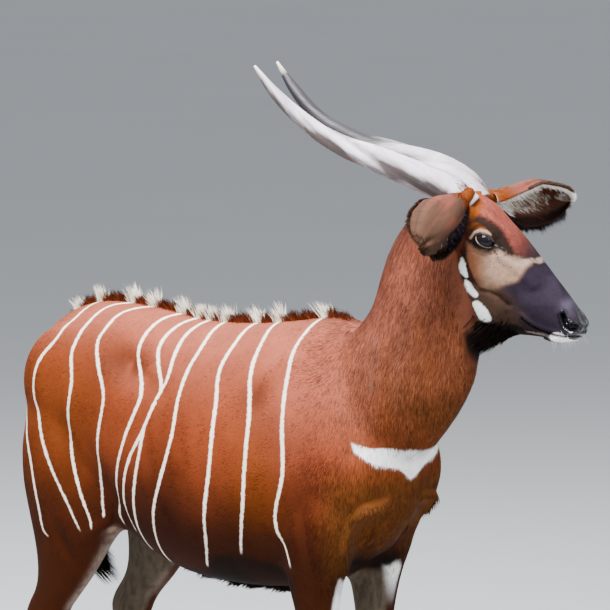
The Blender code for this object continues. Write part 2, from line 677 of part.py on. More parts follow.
def make_ear(word, grown, home, cutters):
    """One ear with a fleshy root, cut clear of the head and the horn."""
    base, along, facing = EARS[word]
    origin = head_place((0.0, 0.0, 0.0))
    start = head_place(base)
    along = head_place(along) - origin
    facing = head_place(facing) - origin
    ear = ear_sheet("ear_" + word, start, along, facing, home)
    root = swell("root", (0.0, 0.0, 0.0), EAR_ROOT_SIZE, 0, cutters)
    turn = along.normalized().to_track_quat("Z", "Y").to_matrix().to_4x4()
    root.data.transform(Matrix.Translation(start) @ turn)
    boolean(ear, root, "UNION", "MANIFOLD")
    bpy.data.objects.remove(root)
    fuse_locks(ear, ear_locks(word, home))
    for neighbour in grown:
        boolean(ear, neighbour, "DIFFERENCE", "MANIFOLD")
    return largest(ear)


def make_horn(side, word, grown_head, home, extra=0.0):
    """One horn: a keeled round profile carried along its bent axis and turned once.

    With some extra thickness and its root left long, it is the cutter that clears the ear.
    """
    path = smooth_rows(HORN, 3)
    centres = [head_place((a, side * y, z)) for a, y, z, share in path]
    rings = []
    around = 10
    upward = Vector((0.0, 0.0, 1.0))
    for i, centre in enumerate(centres):
        share = i / (len(centres) - 1)
        before, after = centres[max(i - 1, 0)], centres[min(i + 1, len(centres) - 1)]
        along = (after - before).normalized()
        out = along.cross(upward).normalized()
        up = out.cross(along).normalized()
        radius = HORN_THICKNESS * max(path[i][3], 0.05) + extra
        twist = side * 2 * math.pi * HORN_TURNS * share
        ring = []
        for k in range(around):
            angle = 2 * math.pi * k / around
            keel = 1.0 + HORN_KEEL * max(0.0, math.cos(angle)) ** 6 - 0.05 * math.cos(2 * angle)
            turned = angle + twist
            ring.append(centre + (out * math.cos(turned) + up * math.sin(turned)) * radius * keel)
        rings.append(np.array([tuple(p) for p in ring]))
    horn = skin_rings(("thick_horn_" if extra else "horn_") + word, rings, home)
    if extra:
        return hide_cutter(horn)
    boolean(horn, grown_head, "DIFFERENCE", "MANIFOLD")
    return largest(horn)


def make_eye(side, word, home):
    """A round eyeball."""
    a, y, z = EYE_PLACE
    return swell("eye_" + word, head_place((a, side * y, z)), (EYE_RADIUS,) * 3, 0, home)


def make_hoof(leg, place, side, word, home):
    """The two claws of one foot, with a slit between them."""
    made = []
    x, y = place
    for claw, outward in (("outer", 1.0), ("inner", -1.0)):
        middle = side * (y + outward * (CLAW[1][4] + HOOF_SPLIT / 2))
        rows = [(*row[:5], middle, *row[6:]) for row in shifted(CLAW, x + STEP[leg][side])]
        made.append(loft("hoof_%s_%s_%s" % (leg, claw, word), rows, home, around=10, steps=1))
    return made


def make_tail(home):
    """The tail's dock and the core of its tuft: rings square to a bent line."""
    path = smooth_rows(TAIL, 3)
    centres = [Vector(row[:3]) for row in path]
    rings = []
    for i, centre in enumerate(centres):
        before, after = centres[max(i - 1, 0)], centres[min(i + 1, len(centres) - 1)]
        along = (after - before).normalized()
        side = Vector((0.0, 1.0, 0.0))
        side = (side - along * side.dot(along)).normalized()
        front = side.cross(along)
        radius = path[i][3]
        rings.append(np.array([tuple(centre + (side * math.cos(t) + front * math.sin(t)) * radius)
                               for t in np.linspace(0.0, 2 * math.pi, 12, endpoint=False)]))
    return skin_rings("tail", rings, home)


def lock(root, way, bend, flat, length, size, home):
    """A flat tapered lock: a diamond carried along a bent line to a point."""
    way, flat = way.normalized(), flat.normalized()
    side = way.cross(flat).normalized()
    width, thickness = size
    rings = []
    for t, share in LOCK_SHAPE:
        middle = root + way * (t * length) + bend * (max(t, 0.0) ** 2 * length)
        half, deep = width / 2 * share, thickness / 2 * share
        rings.append(np.array([tuple(middle + side * half), tuple(middle + flat * deep),
                               tuple(middle - side * half), tuple(middle - flat * deep)]))
    return skin_rings("lock", rings, home)


def weld(piece):
    """Merge the corners that the cuts left closer together than a hair's breadth."""
    work = bmesh.new()
    work.from_mesh(piece.data)
    bmesh.ops.triangulate(work, faces=work.faces)
    bmesh.ops.remove_doubles(work, verts=work.verts, dist=WELD_REACH)
    bmesh.ops.dissolve_degenerate(work, dist=WELD_REACH, edges=work.edges)
    bmesh.ops.triangulate(work, faces=work.faces)
    work.to_mesh(piece.data)
    work.free()
    return piece


def fuse_locks(piece, locks):
    """Join locks to a piece as one closed body and remove them."""
    for each in locks:
        boolean(piece, each, "UNION", "MANIFOLD")
        bpy.data.objects.remove(each)
    return weld(largest(piece))


def surface_tree(piece):
    """A search tree of a piece's faces."""
    work = bmesh.new()
    work.from_mesh(piece.data)
    tree = BVHTree.FromBMesh(work)
    work.free()
    return tree


def crest_locks(tree, home):
    """The short erect mane along the spine, from rump to withers, in two leaning rows."""
    locks = []
    for i in range(CREST_LOCKS):
        x = CREST_FROM + (CREST_TO - CREST_FROM) * i / (CREST_LOCKS - 1)
        lean = 0.007 if i % 2 else -0.007
        root, normal, index, far = tree.ray_cast(Vector((x, lean, 1.5)), Vector((0.0, 0.0, -1.0)))
        way = Vector((-0.42 + random.uniform(-0.10, 0.10), lean * 14, 1.0))
        bend = Vector((-0.40, lean * 8, -0.10))
        length = CREST_HEIGHT * random.uniform(0.85, 1.12)
        locks.append(lock(root, way, bend, Vector((0.0, 1.0, 0.0)), length, CREST_LOCK, home))
    return locks


def fringe_locks(tree, home):
    """The dark fringe that hangs along the middle of the belly."""
    locks = []
    for i in range(BELLY_LOCKS):
        x = BELLY_FROM + (BELLY_TO - BELLY_FROM) * i / (BELLY_LOCKS - 1)
        y = 0.010 if i % 2 else -0.010
        root, normal, index, far = tree.ray_cast(Vector((x, y, 0.3)), Vector((0.0, 0.0, 1.0)))
        way = Vector((-0.45, y * 2, -1.0))
        bend = Vector((-0.35, 0.0, 0.10))
        length = BELLY_FRINGE * random.uniform(0.85, 1.15)
        locks.append(lock(root, way, bend, Vector((0.0, 1.0, 0.0)), length, BELLY_LOCK, home))
    return locks


def beard_locks(tree, home):
    """The dark tuft under the throat, in rows across the jaw."""
    locks = []
    origin = head_place((0.0, 0.0, 0.0))
    for a, across in BEARD_PLACES:
        start = head_place((a, across, 1.0))
        root, normal, index, far = tree.ray_cast(start, Vector((0.0, 0.0, 1.0)))
        way = head_place((-0.45, across * 4, -1.0)) - origin
        bend = head_place((-0.25, 0.0, 0.05)) - origin
        flat = head_place((random.uniform(-0.5, 0.5), 1.0, random.uniform(-0.2, 0.2))) - origin
        length = BEARD_LENGTH * random.uniform(0.8, 1.1) * (1.1 - 3.0 * (a - 0.03))
        locks.append(lock(root, way, bend, flat, length, BEARD_LOCK, home))
    return locks


def tuft_locks(home):
    """The tuft of the tail: locks round its core, all bending down to one tip."""
    locks = []
    path = smooth_rows(TAIL, 3)
    for i in range(TUFT_LOCKS):
        share = i / (TUFT_LOCKS - 1)
        x, y, z, radius = path[int(round((0.60 + 0.38 * share) * (len(path) - 1)))]
        angle = i * 2.4
        out = Vector((math.cos(angle), math.sin(angle), 0.0))
        root = Vector((x, y, z)) + out * radius * 0.7
        way = Vector((0.06, 0.05, -1.0)) + out * 0.22
        bend = Vector((0.05, 0.05, -0.10)) - out * 0.18
        length = TUFT_LENGTH * (0.75 + 0.35 * share)
        locks.append(lock(root, way, bend, out, length, TUFT_LOCK, home))
    return locks


def ear_locks(word, home):
    """The long hair along the lower edge of an ear."""
    base, along, facing = EARS[word]
    origin = head_place((0.0, 0.0, 0.0))
    first = (head_place(along) - origin).normalized()
    facing = head_place(facing) - origin
    third = (facing - first * facing.dot(first)).normalized()
    second = third.cross(first)
    locks = []
    for i in range(EAR_LOCKS):
        u = 0.20 + 0.72 * i / (EAR_LOCKS - 1)
        root = ear_point(head_place(base), first, second, third, u, -0.94)
        way = first * 0.95 - second * 0.60 + third * 0.10
        bend = first * 0.25
        length = EAR_FRINGE * (0.75 + 0.5 * math.sin(math.pi * u))
        locks.append(lock(root, way, bend, third, length, EAR_LOCK, home))
    return locks


def finish(piece, look, home):
    """Give a piece its material and shade it smooth between sharp edges."""
    piece.data.materials.clear()
    piece.data.materials.append(material(piece.name + "_finish", look))
    piece.data.shade_smooth()
    piece.data.set_sharp_from_angle(angle=math.radians(50))
    for owner in list(piece.users_collection):
        owner.objects.unlink(piece)
    home.objects.link(piece)


def look_of(name):
    """The finish of a node by its name."""
    if name.startswith("hoof"):
        return HOOF_BLACK
    if name.startswith("horn"):
        return HORN_GREY
    if name.startswith("ear"):
        return EAR_TAN
    if name.startswith("eye"):
        return EYE_DARK
    if "lower" in name:
        return LEG_DARK
    return {"neck": NECK_BROWN, "head": FACE_BROWN, "tail": TAIL_DARK}.get(name, CHESTNUT)


def stand_on_origin(pieces, home):
    """Parent everything to an empty that puts the middle of the box over the origin."""
    corners = np.array([p.matrix_world @ v.co for p in pieces for v in p.data.vertices])
    low, high = corners.min(axis=0), corners.max(axis=0)
    frame = bpy.data.objects.new("frame", None)
    frame.location = (-(low[0] + high[0]) / 2, -(low[1] + high[1]) / 2, -low[2])
    home.objects.link(frame)
    for piece in pieces:
        piece.parent = frame


def main():
    """Build every node of the animal."""
    for old in list(bpy.data.objects):
        bpy.data.objects.remove(old)
    random.seed(11)
    parts = collection("bongo_antelope")
    cutters = collection("cutters")
    whole = join("whole", flesh(parts) + head_flesh(parts), parts)
    melt(whole, BODY_VOXEL, 8, BODY_TRIANGLES)
    part_body(whole, cutters)
    pieces = split_islands(whole, body_seeds(), parts)
    head = make_head(swollen_copy(pieces["neck"], BEARD_GAP, cutters), parts, cutters)
    grown_head = swollen_copy(head, GAP, cutters)
    grown_torso = swollen_copy(pieces["torso"], GAP, cutters)
    torso_tree = surface_tree(pieces["torso"])
    fuse_locks(pieces["torso"], crest_locks(torso_tree, parts) + fringe_locks(torso_tree, parts))
    nodes = list(pieces.values()) + [head]
    for side, word in ((-1.0, "right"), (1.0, "left")):
        thick_horn = make_horn(side, word, grown_head, cutters, GAP)
        horn = make_horn(side, word, grown_head, parts)
        grown = (grown_head, thick_horn)
        nodes += [horn, make_ear(word, grown, parts, cutters)]
        nodes.append(make_eye(side, word, parts))
        nodes += make_hoof("fore", FORE_HOOF, side, word, parts)
        nodes += make_hoof("hind", HIND_HOOF, side, word, parts)
    tail = make_tail(parts)
    boolean(tail, grown_torso, "DIFFERENCE")
    nodes.append(fuse_locks(tail, tuft_locks(parts)))
    for node in nodes:
        finish(node, look_of(node.name), parts)
    for cutter in list(cutters.objects):
        bpy.data.objects.remove(cutter)
    stand_on_origin(nodes, parts)


main()
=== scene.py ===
"""A life-size standing bongo antelope as a museum shows it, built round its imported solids.

Shapes are worked out in the maker's frame: the animal faces +X, its left side is at +Y, its feet
stand at z = 0, and the head has a frame of its own, turned to the animal's left. SHIFT carries
points from the maker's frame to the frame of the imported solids. Sizes are in metres, but in the
tables of whole numbers in millimetres, which mm() and sections() read.
"""

import math

import bmesh
import bpy
import numpy as np
from bpy.props import FloatVectorProperty, IntProperty, PointerProperty
from mathutils import Matrix, Vector


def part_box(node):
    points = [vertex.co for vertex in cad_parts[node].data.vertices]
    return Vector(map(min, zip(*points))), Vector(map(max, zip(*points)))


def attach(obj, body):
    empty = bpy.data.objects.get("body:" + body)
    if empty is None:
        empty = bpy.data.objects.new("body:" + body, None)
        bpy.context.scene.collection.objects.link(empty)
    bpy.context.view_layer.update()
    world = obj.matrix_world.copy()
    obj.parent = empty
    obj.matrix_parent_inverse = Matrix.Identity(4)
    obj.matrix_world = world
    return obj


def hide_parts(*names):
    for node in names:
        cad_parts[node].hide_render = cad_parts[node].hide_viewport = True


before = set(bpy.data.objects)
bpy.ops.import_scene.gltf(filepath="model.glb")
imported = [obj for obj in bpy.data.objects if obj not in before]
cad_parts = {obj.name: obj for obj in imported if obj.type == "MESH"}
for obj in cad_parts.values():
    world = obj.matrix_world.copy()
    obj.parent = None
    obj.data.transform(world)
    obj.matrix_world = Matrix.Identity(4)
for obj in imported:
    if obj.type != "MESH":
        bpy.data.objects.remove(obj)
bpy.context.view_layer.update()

bl_info = {
    "name": "Standing bongo antelope",
    "version": (1, 0, 0),
    "blender": (4, 5, 0),
    "location": "3D View > Sidebar > Antelope",
    "description": "Builds the coat, horns, ears, eyes and hooves of a life-size bongo antelope",
    "category": "Add Mesh",
}


def mm(*rows):
    """Rows given in millimetres, as an array in metres."""
    return np.array(rows) / 1000.0


# The head's frame: its turn to the left, and where its origin stands
HEAD_TURN = math.radians(22)
HEAD_ORIGIN = np.array((0.6, 0.05, 0.0))
EYE_PLACE = np.array((0.062, 0.062, 1.376))
EYE_RADIUS = 0.0205
SIDES = (("right", -1.0), ("left", 1.0))

# Flesh sections, each between a top point and a low point of the side view.
# Columns: top x, top z, low x, low z, half width, y of the middle, share of the depth above the
# widest place, power of the upper curve, power of the lower curve (2 is round, less a ridge).
# The share stands in hundredths and the powers in tenths.
SECTION_UNITS = (1000,) * 6 + (100, 10, 10)
TORSO = ((-553, 990, -548, 880, 30, 0, 45, 20, 20), (-535, 1078, -530, 820, 98, 0, 45, 20, 20),
         (-470, 1144, -465, 790, 156, 0, 48, 20, 20), (-370, 1172, -360, 745, 188, 0, 50, 21, 20),
         (-220, 1169, -220, 648, 206, 0, 50, 22, 21), (-80, 1154, -80, 600, 226, 0, 54, 21, 22),
         (60, 1159, 60, 590, 232, 0, 56, 20, 22), (180, 1174, 180, 597, 218, 0, 56, 19, 21),
         (280, 1190, 275, 618, 195, 0, 54, 18, 20), (355, 1180, 345, 655, 178, 0, 52, 18, 20),
         (425, 1110, 415, 700, 158, 0, 50, 19, 20), (480, 1020, 470, 765, 115, 0, 50, 20, 20),
         (503, 940, 498, 835, 40, 0, 50, 20, 20))
NECK = ((290, 1120, 440, 840, 120, 0, 50, 18, 20), (352, 1165, 520, 910, 118, 2, 52, 18, 20),
        (404, 1230, 590, 995, 106, 8, 54, 19, 21), (420, 1295, 625, 1060, 98, 16, 54, 19, 21),
        (436, 1350, 636, 1125, 92, 26, 52, 20, 21), (470, 1408, 645, 1185, 84, 38, 50, 20, 20),
        (536, 1452, 665, 1245, 72, 48, 50, 20, 20), (630, 1420, 680, 1300, 40, 55, 50, 20, 20))
# The head's sections run along its own length, from the back of the skull to the nose.
HEAD = ((-45, 1410, -20, 1330, 30, 0, 50, 20, 20), (-25, 1448, 0, 1265, 58, 0, 42, 22, 20),
        (12, 1465, 22, 1208, 70, 0, 38, 24, 20), (53, 1450, 46, 1180, 74, 0, 34, 27, 19),
        (90, 1413, 78, 1176, 72, 0, 34, 27, 19), (128, 1376, 112, 1176, 61, 0, 38, 25, 19),
        (162, 1337, 147, 1175, 51, 0, 45, 24, 20), (193, 1300, 180, 1172, 44, 0, 52, 23, 21),
        (222, 1264, 212, 1168, 41, 0, 56, 23, 22), (243, 1235, 238, 1168, 40, 0, 55, 23, 23),
        (255, 1214, 250, 1174, 31, 0, 50, 22, 22), (262, 1200, 257, 1184, 10, 0, 50, 20, 20))
# Legs are level sections, from the front edge to the back edge, on the left side of the body.
FORE_LEG = ((440, 880, 250, 880, 50, 98, 50, 20, 20), (440, 780, 245, 780, 66, 106, 50, 20, 20),
            (420, 700, 247, 700, 62, 108, 50, 20, 20), (393, 630, 262, 630, 53, 107, 50, 20, 20),
            (377, 560, 281, 560, 45, 104, 50, 20, 20), (366, 480, 292, 480, 38, 102, 50, 20, 20),
            (361, 415, 296, 415, 34, 100, 50, 20, 20), (367, 368, 291, 368, 37, 99, 45, 23, 20),
            (359, 325, 294, 325, 33, 99, 50, 22, 20), (349, 280, 297, 280, 26, 98, 50, 20, 20),
            (344, 205, 298, 205, 22, 98, 50, 20, 20), (347, 148, 294, 148, 26, 98, 50, 20, 20),
            (354, 116, 288, 116, 32, 98, 50, 20, 20), (370, 84, 306, 84, 30, 98, 50, 20, 22),
            (388, 60, 322, 60, 34, 98, 45, 22, 24), (392, 40, 326, 40, 34, 98, 45, 22, 24))
HIND_LEG = ((-290, 1000, -470, 1000, 50, 100, 50, 20, 20),
            (-225, 890, -520, 890, 76, 114, 50, 20, 20),
            (-212, 790, -520, 790, 79, 122, 48, 20, 20),
            (-226, 705, -500, 705, 70, 126, 46, 20, 20),
            (-272, 635, -482, 635, 58, 127, 46, 20, 20),
            (-316, 575, -478, 575, 48, 125, 46, 20, 20),
            (-356, 530, -492, 530, 41, 123, 42, 20, 18),
            (-393, 490, -520, 490, 36, 120, 38, 21, 17),
            (-414, 455, -531, 455, 36, 118, 38, 22, 18),
            (-427, 415, -514, 415, 34, 117, 42, 22, 20),
            (-434, 350, -498, 350, 27, 116, 50, 20, 20),
            (-434, 260, -488, 260, 24, 115, 50, 20, 20),
            (-432, 170, -486, 170, 26, 114, 50, 20, 20),
            (-424, 122, -490, 122, 33, 113, 50, 20, 20), (-404, 86, -470, 86, 30, 113, 50, 20, 22),
            (-386, 60, -452, 60, 34, 113, 45, 22, 24), (-382, 40, -448, 40, 34, 113, 45, 22, 24))
HOOF_HEIGHT = 0.052
HOOF_SPLIT = 0.003
CLAW = ((62, 0, -40, 0, 19.5, 0, 55, 15, 24), (60, 6, -40, 6, 20, 0, 55, 15, 24),
        (47, 26, -36, 26, 19, 0, 55, 17, 24), (32, 52, -32, 52, 16.5, 0, 55, 19, 24))
HOOVES = {"fore": (0.357, 0.098), "hind": (-0.417, 0.113)}
STEP = {"fore": {-1.0: 0.0, 1.0: -0.022}, "hind": {-1.0: 0.0, 1.0: 0.036}}

# Muscles and bony swells on both sides: middle, radii and forward lean in degrees.
MUSCLES = (
    ((0.3, 0.092, 0.96), (0.1, 0.066, 0.175), -14),
    ((0.4, 0.094, 0.865), (0.088, 0.064, 0.115), 12),
    ((0.328, 0.11, 0.79), (0.102, 0.058, 0.11), 0),
    ((-0.365, 0.105, 0.99), (0.17, 0.078, 0.145), 0),
    ((-0.44, 0.098, 0.88), (0.09, 0.072, 0.14), 0),
    ((-0.275, 0.132, 0.75), (0.062, 0.046, 0.085), 20),
)
DEWCLAWS = (("fore", 0.286, 0.098, 0.104), ("hind", -0.486, 0.113, 0.11))
DEWCLAW_SIZE = (0.012, 0.009, 0.016)
DEWCLAW_SPREAD = 0.017
HEAD_SWELLS = (
    ((0.066, 0.052, 1.394), (0.036, 0.022, 0.02), 40),
    ((0.06, 0.044, 1.262), (0.05, 0.026, 0.062), -15),
    ((0.098, 0.046, 1.33), (0.04, 0.018, 0.016), 38),
    ((0.235, 0.022, 1.206), (0.024, 0.018, 0.022), 40),
    ((0.205, 0.014, 1.176), (0.032, 0.018, 0.011), 0),
    ((0.012, 0.052, 1.422), (0.032, 0.03, 0.032), 0),
    ((0.01, 0.034, 1.452), (0.03, 0.028, 0.026), 0),
)

# Horn axis in the head's frame: along the head, out to the side, height, and thousandths of the
# full thickness.
HORN = mm((18, 36, 1440, 1020), (-14, 46, 1474, 1000), (-70, 62, 1502, 970), (-130, 68, 1523, 920),
          (-190, 60, 1541, 830), (-245, 50, 1557, 720), (-310, 46, 1589, 620),
          (-360, 52, 1627, 500), (-402, 60, 1672, 360), (-439, 67, 1722, 80))
HORN_THICKNESS = 0.029
HORN_KEEL = 0.3
HORN_TURNS = 1.0

# Tail dock from the rump down, then the tuft's middle line: x, y, z, radius.
TAIL = mm((-500, 0, 1075, 30), (-545, 0, 1055, 28), (-580, 2, 1000, 24), (-592, 10, 920, 19),
          (-590, 22, 830, 16), (-580, 36, 750, 16), (-566, 48, 690, 18), (-556, 56, 640, 10))

# The ear is a cupped leaf: its root, the way to its tip and the way its cup opens, in the head's
# frame, and its share of full width at shares of its length.
EAR_LENGTH = 0.215
EAR_WIDTH = 0.145
EAR_BOW = 0.024
EAR_ROLL, EAR_UNROLL = 150, 59
EAR_OUTLINE = ((0.0, 0.15, 0.32, 0.5, 0.66, 0.8, 0.9, 0.97, 1.0),
               (0.46, 0.66, 0.93, 1.0, 0.96, 0.78, 0.54, 0.28, 0.1))
EARS = {
    "right": ((0.02, -0.052, 1.466), (-0.168, -0.907, -0.386), (-0.824, 0.419, -0.382)),
    "left": ((0.03, 0.065, 1.454), (0.551, 0.831, -0.078), (0.516, -0.713, -0.474)),
}

# The cut between head and neck, and the one between neck and trunk: a point and a way
HEAD_CUT = ((-0.012, 0.0, 1.295), (0.98, 0.0, 0.2))
NECK_CUT = ((0.44, 0.0, 1.06), (0.806, 0.0, 0.591))

# White stripes of the right side, from the spine down, in millimetres; the left side mirrors them.
STRIPES = (
    ((-470, -40, 1135), (-520, -95, 1040), (-504, -139, 936), (-450, -185, 834), (-424, -193, 741),
     (-411, -186, 678), (-391, -187, 660)),
    ((-400, -10, 1168), (-391, -90, 1146), (-394, -152, 1100), (-431, -168, 1047),
     (-444, -172, 997), (-441, -169, 946), (-404, -190, 873), (-365, -199, 811), (-324, -197, 747),
     (-294, -182, 680)),
    ((-300, -13, 1178), (-329, -49, 1166), (-334, -103, 1142), (-333, -148, 1104),
     (-334, -168, 1065), (-316, -188, 1011), (-323, -193, 934), (-317, -190, 857),
     (-293, -191, 781), (-272, -181, 720), (-269, -173, 688)),
    ((-236, -12, 1179), (-268, -67, 1159), (-268, -120, 1129), (-268, -152, 1095),
     (-242, -178, 1050), (-207, -199, 988), (-219, -205, 904), (-232, -190, 814),
     (-240, -168, 742), (-242, -162, 717)),
    ((-150, -11, 1171), (-160, -70, 1149), (-157, -129, 1114), (-144, -161, 1077),
     (-104, -190, 1023), (-98, -205, 984), (-129, -217, 904), (-155, -212, 836), (-176, -190, 757),
     (-205, -150, 691)),
    ((-102, -11, 1161), (-107, -78, 1139), (-102, -133, 1104), (-74, -166, 1064),
     (-47, -187, 1028), (-48, -199, 1003), (-71, -219, 932), (-107, -222, 872), (-134, -213, 808),
     (-150, -185, 735), (-150, -165, 690)),
    ((-66, -12, 1158), (-60, -94, 1129), (-49, -139, 1094), (-37, -176, 1047), (-47, -200, 999)),
    ((-67, -216, 943), (-75, -224, 887), (-92, -218, 820), (-106, -211, 774), (-125, -163, 692),
     (-130, -130, 650)),
    ((-21, -9, 1153), (9, -113, 1116), (11, -159, 1071), (13, -195, 1013), (18, -221, 931),
     (-6, -231, 843), (-40, -218, 763), (-65, -177, 683), (-85, -120, 615)),
    ((71, -13, 1168), (92, -99, 1128), (97, -157, 1072), (120, -194, 1004), (129, -223, 883),
     (113, -222, 781), (93, -195, 698), (57, -151, 642)),
    ((134, -13, 1179), (164, -96, 1134), (180, -150, 1075), (211, -190, 983), (216, -209, 880),
     (206, -204, 789), (172, -170, 685)),
    ((262, -12, 1194), (267, -90, 1143), (278, -143, 1073), (297, -179, 969), (302, -188, 872),
     (275, -176, 768), (304, -162, 670)),
)
# White chest crescent: across from the middle line, its lower and its upper edge
CRESCENT = mm((0, 15, 39, 86, 116, 129, 138), (864, 871, 888, 899, 914, 929, 946),
              (933, 934, 937, 937, 942, 950, 957))
# Outlines on the side of the head: along it and up it
FOREHEAD_LOW = mm((20, 1452), (42, 1431), (61, 1420), (80, 1409), (97, 1391), (112, 1367),
                  (123, 1349), (141, 1341), (200, 1336))
BROW = mm((20, 1436), (34, 1446), (42, 1431), (61, 1420), (80, 1409), (97, 1391), (112, 1367),
          (123, 1349), (140, 1341), (109, 1344), (99, 1358), (85, 1372), (81, 1383), (68, 1397),
          (49, 1403), (26, 1400), (6, 1380), (0, 1345), (-8, 1400))
LID_FOLD = mm((34, 1381), (42, 1392), (54, 1398), (68, 1396), (76, 1389))
LID_SPOT = mm((30, 1404), (46, 1408), (62, 1401))
CHEEK = mm((26, 1372), (27, 1331), (32, 1311), (40, 1290), (54, 1277), (75, 1274), (95, 1277),
           (112, 1286), (126, 1290), (138, 1300), (145, 1317), (154, 1328), (138, 1338),
           (111, 1346), (98, 1357), (72, 1354), (46, 1361))
CHEVRON = mm((118, 1332), (142, 1338), (164, 1337), (178, 1327), (164, 1329), (152, 1330),
             (134, 1323))
# Where the neck's hair begins behind the cheek spots: up the head, and how far along it
NECK_EDGE = mm((1180, 1195, 1208, 1222, 1245, 1266, 1281, 1300, 1318, 1345, 1380),
               (20, 34, 46, 40, 34, 26, 20, 13, 7, 2, -10))
MUZZLE = mm((176, 1326), (160, 1327), (149, 1322), (139, 1306), (132, 1294), (112, 1287),
            (97, 1276), (102, 1259), (114, 1238), (121, 1217), (132, 1196), (150, 1100),
            (330, 1100), (330, 1326))
JAW_LINE = mm((13, 1353), (24, 1331), (32, 1311), (40, 1290), (54, 1275), (75, 1272), (95, 1261),
              (110, 1246))
CHEEK_SPOTS = (
    mm((10, 1334), (15, 1341), (21, 1331), (26, 1314), (28, 1299), (18, 1301), (8, 1318)),
    mm((19, 1294), (27, 1292), (40, 1278), (50, 1263), (41, 1258), (27, 1268), (20, 1281)),
    mm((35, 1247), (43, 1252), (58, 1247), (72, 1228), (75, 1211), (62, 1206), (50, 1211),
       (41, 1230)),
)
TEAR_DOTS = mm((86, 1354, 4.2), (90, 1350, 3), (93, 1343, 2.4), (106, 1348, 2.2), (76, 1334, 1.8),
               (104, 1326, 2), (96, 1333, 1.8), (112, 1336, 1.6), (85, 1322, 1.6),
               (118, 1322, 1.6))
TEAR_STREAK = mm((84, 1372), (93, 1364), (104, 1357))
THROAT = mm((-60, 1120), (-30, 1165), (28, 1188), (44, 1203), (87, 1201), (118, 1203), (140, 1192),
            (160, 1184), (185, 1120))
LOWER_LIP = mm((138, 1188), (167, 1185), (200, 1180), (250, 1178), (250, 1150), (150, 1150))
UPPER_LIP = mm((190, 1180), (197, 1187), (208, 1190), (220, 1188), (228, 1182), (238, 1183),
               (250, 1179), (250, 1168), (200, 1168))
NOSE = mm((234, 1250), (246, 1250), (290, 1230), (280, 1160), (232, 1176), (230, 1190),
          (240, 1190), (256, 1196), (257, 1208), (249, 1222), (240, 1236))
UNDER_EYE = mm((40, 1352), (62, 1346), (86, 1350))
CHEEK_BONE = mm((98, 1345), (135, 1312), (160, 1285))
MOUTH_LINE = mm((134, 1217), (146, 1206), (161, 1197), (181, 1189), (203, 1184), (225, 1181),
                (252, 1182))
NOSTRIL = mm((221.5, 1228, 3), (225, 1217, 4), (231, 1206, 5.2), (240, 1202, 6.4),
             (248, 1202, 5.4))

# Forms on the body: middle x and z, radii, turn in degrees and how far they rise or sink; both
# sides, and only beyond the given distance from the middle line.
RELIEF = (
    ((-0.158, 1.062), (0.095, 0.03), -22, -0.01, 0.11),
    ((-0.262, 1.112), (0.055, 0.042), 0, 0.0065, 0.1),
    ((0.214, 1.03), (0.03, 0.045), 20, -0.0075, 0.12),
    ((0.25, 1.098), (0.022, 0.07), -35, 0.0055, 0.08),
    ((0.33, 1.0), (0.045, 0.095), -25, 0.005, 0.1),
    ((0.296, 0.905), (0.02, 0.08), -12, -0.005, 0.14),
    ((0.262, 0.745), (0.03, 0.03), 0, 0.006, 0.13),
    ((0.345, 0.745), (0.018, 0.07), 8, -0.006, 0.14),
    ((-0.205, 0.79), (0.024, 0.09), 30, -0.008, 0.12),
    ((-0.225, 0.716), (0.065, 0.013), 38, 0.01, 0.1),
    ((-0.33, 0.86), (0.03, 0.12), 18, -0.0045, 0.14),
    ((-0.44, 1.01), (0.045, 0.08), 10, 0.005, 0.1),
    ((-0.345, 0.64), (0.016, 0.075), 25, -0.0045, 0.14),
)
# Loose folds of skin on the chest, on both sides: ridges along lines
CHEST_FOLDS = (
    mm((477, 60, 822), (470, 108, 814), (451, 121, 799), (436, 123, 776), (430, 125, 754),
       (420, 126, 718), (408, 108, 673)),
    mm((466, 30, 793), (455, 45, 760), (430, 60, 715), (400, 70, 680)),
)

# Side views of three edges: where the belly's black ends, the pale wisps on the neck, and the
# front of the thigh
BELLY_EDGE = mm((-160, 30, 70, 110, 170, 230, 280), (620, 638, 664, 684, 692, 678, 660))
NECK_WISPS = mm((449, 1221), (468, 1172), (477, 1122), (478, 1071))
THIGH_FRONT = mm((-225, 715), (-262, 650), (-300, 600), (-345, 540), (-385, 500))

CREST_FROM, CREST_TO = -0.5, 0.335
CREST_STEP = 0.0115
BELLY_FROM, BELLY_TO = -0.15, 0.235

# How many hairs are sown in each piece of long hair
CREST_HAIRS, BELLY_HAIRS, BEARD_HAIRS = 6400, 5000, 5200
TUFT_HAIRS, POLL_HAIRS, WHISKERS, LASHES, EAR_HAIRS = 4200, 1600, 34, 220, 20000
# Side of a hair's patch on the unwrap
PATCH = 0.003

# How finely the skin is melted together: the body, and the head that the body's net is fitted to
BODY_VOXEL = 0.0082
HEAD_VOXEL = 0.0026
COAT_DEPTH = 0.0022


# Arithmetic on arrays of points

def ramp(low, high, values):
    """0 at low, 1 at high, with the cubic 3t^2 - 2t^3 between them."""
    t = np.clip((values - low) / (high - low), 0.0, 1.0)
    return t * t * (3.0 - 2.0 * t)


def bell(distance, width):
    """1 at no distance, falling as e to the minus square of the distance over the width."""
    return np.exp(-(distance / width) ** 2)


def spot(x, z, middle, radii):
    """A bell round a middle in the plane, as wide as the two radii."""
    return np.exp(-((x - middle[0]) / radii[0]) ** 2 - ((z - middle[1]) / radii[1]) ** 2)


def unit(vectors):
    """Vectors divided by their lengths."""
    return vectors / np.maximum(np.linalg.norm(vectors, axis=-1, keepdims=True), 1e-9)


def tangent(vectors, normals):
    """What is left of vectors without their part along the normals, at length one."""
    return unit(vectors - normals * np.sum(vectors * normals, axis=-1, keepdims=True))


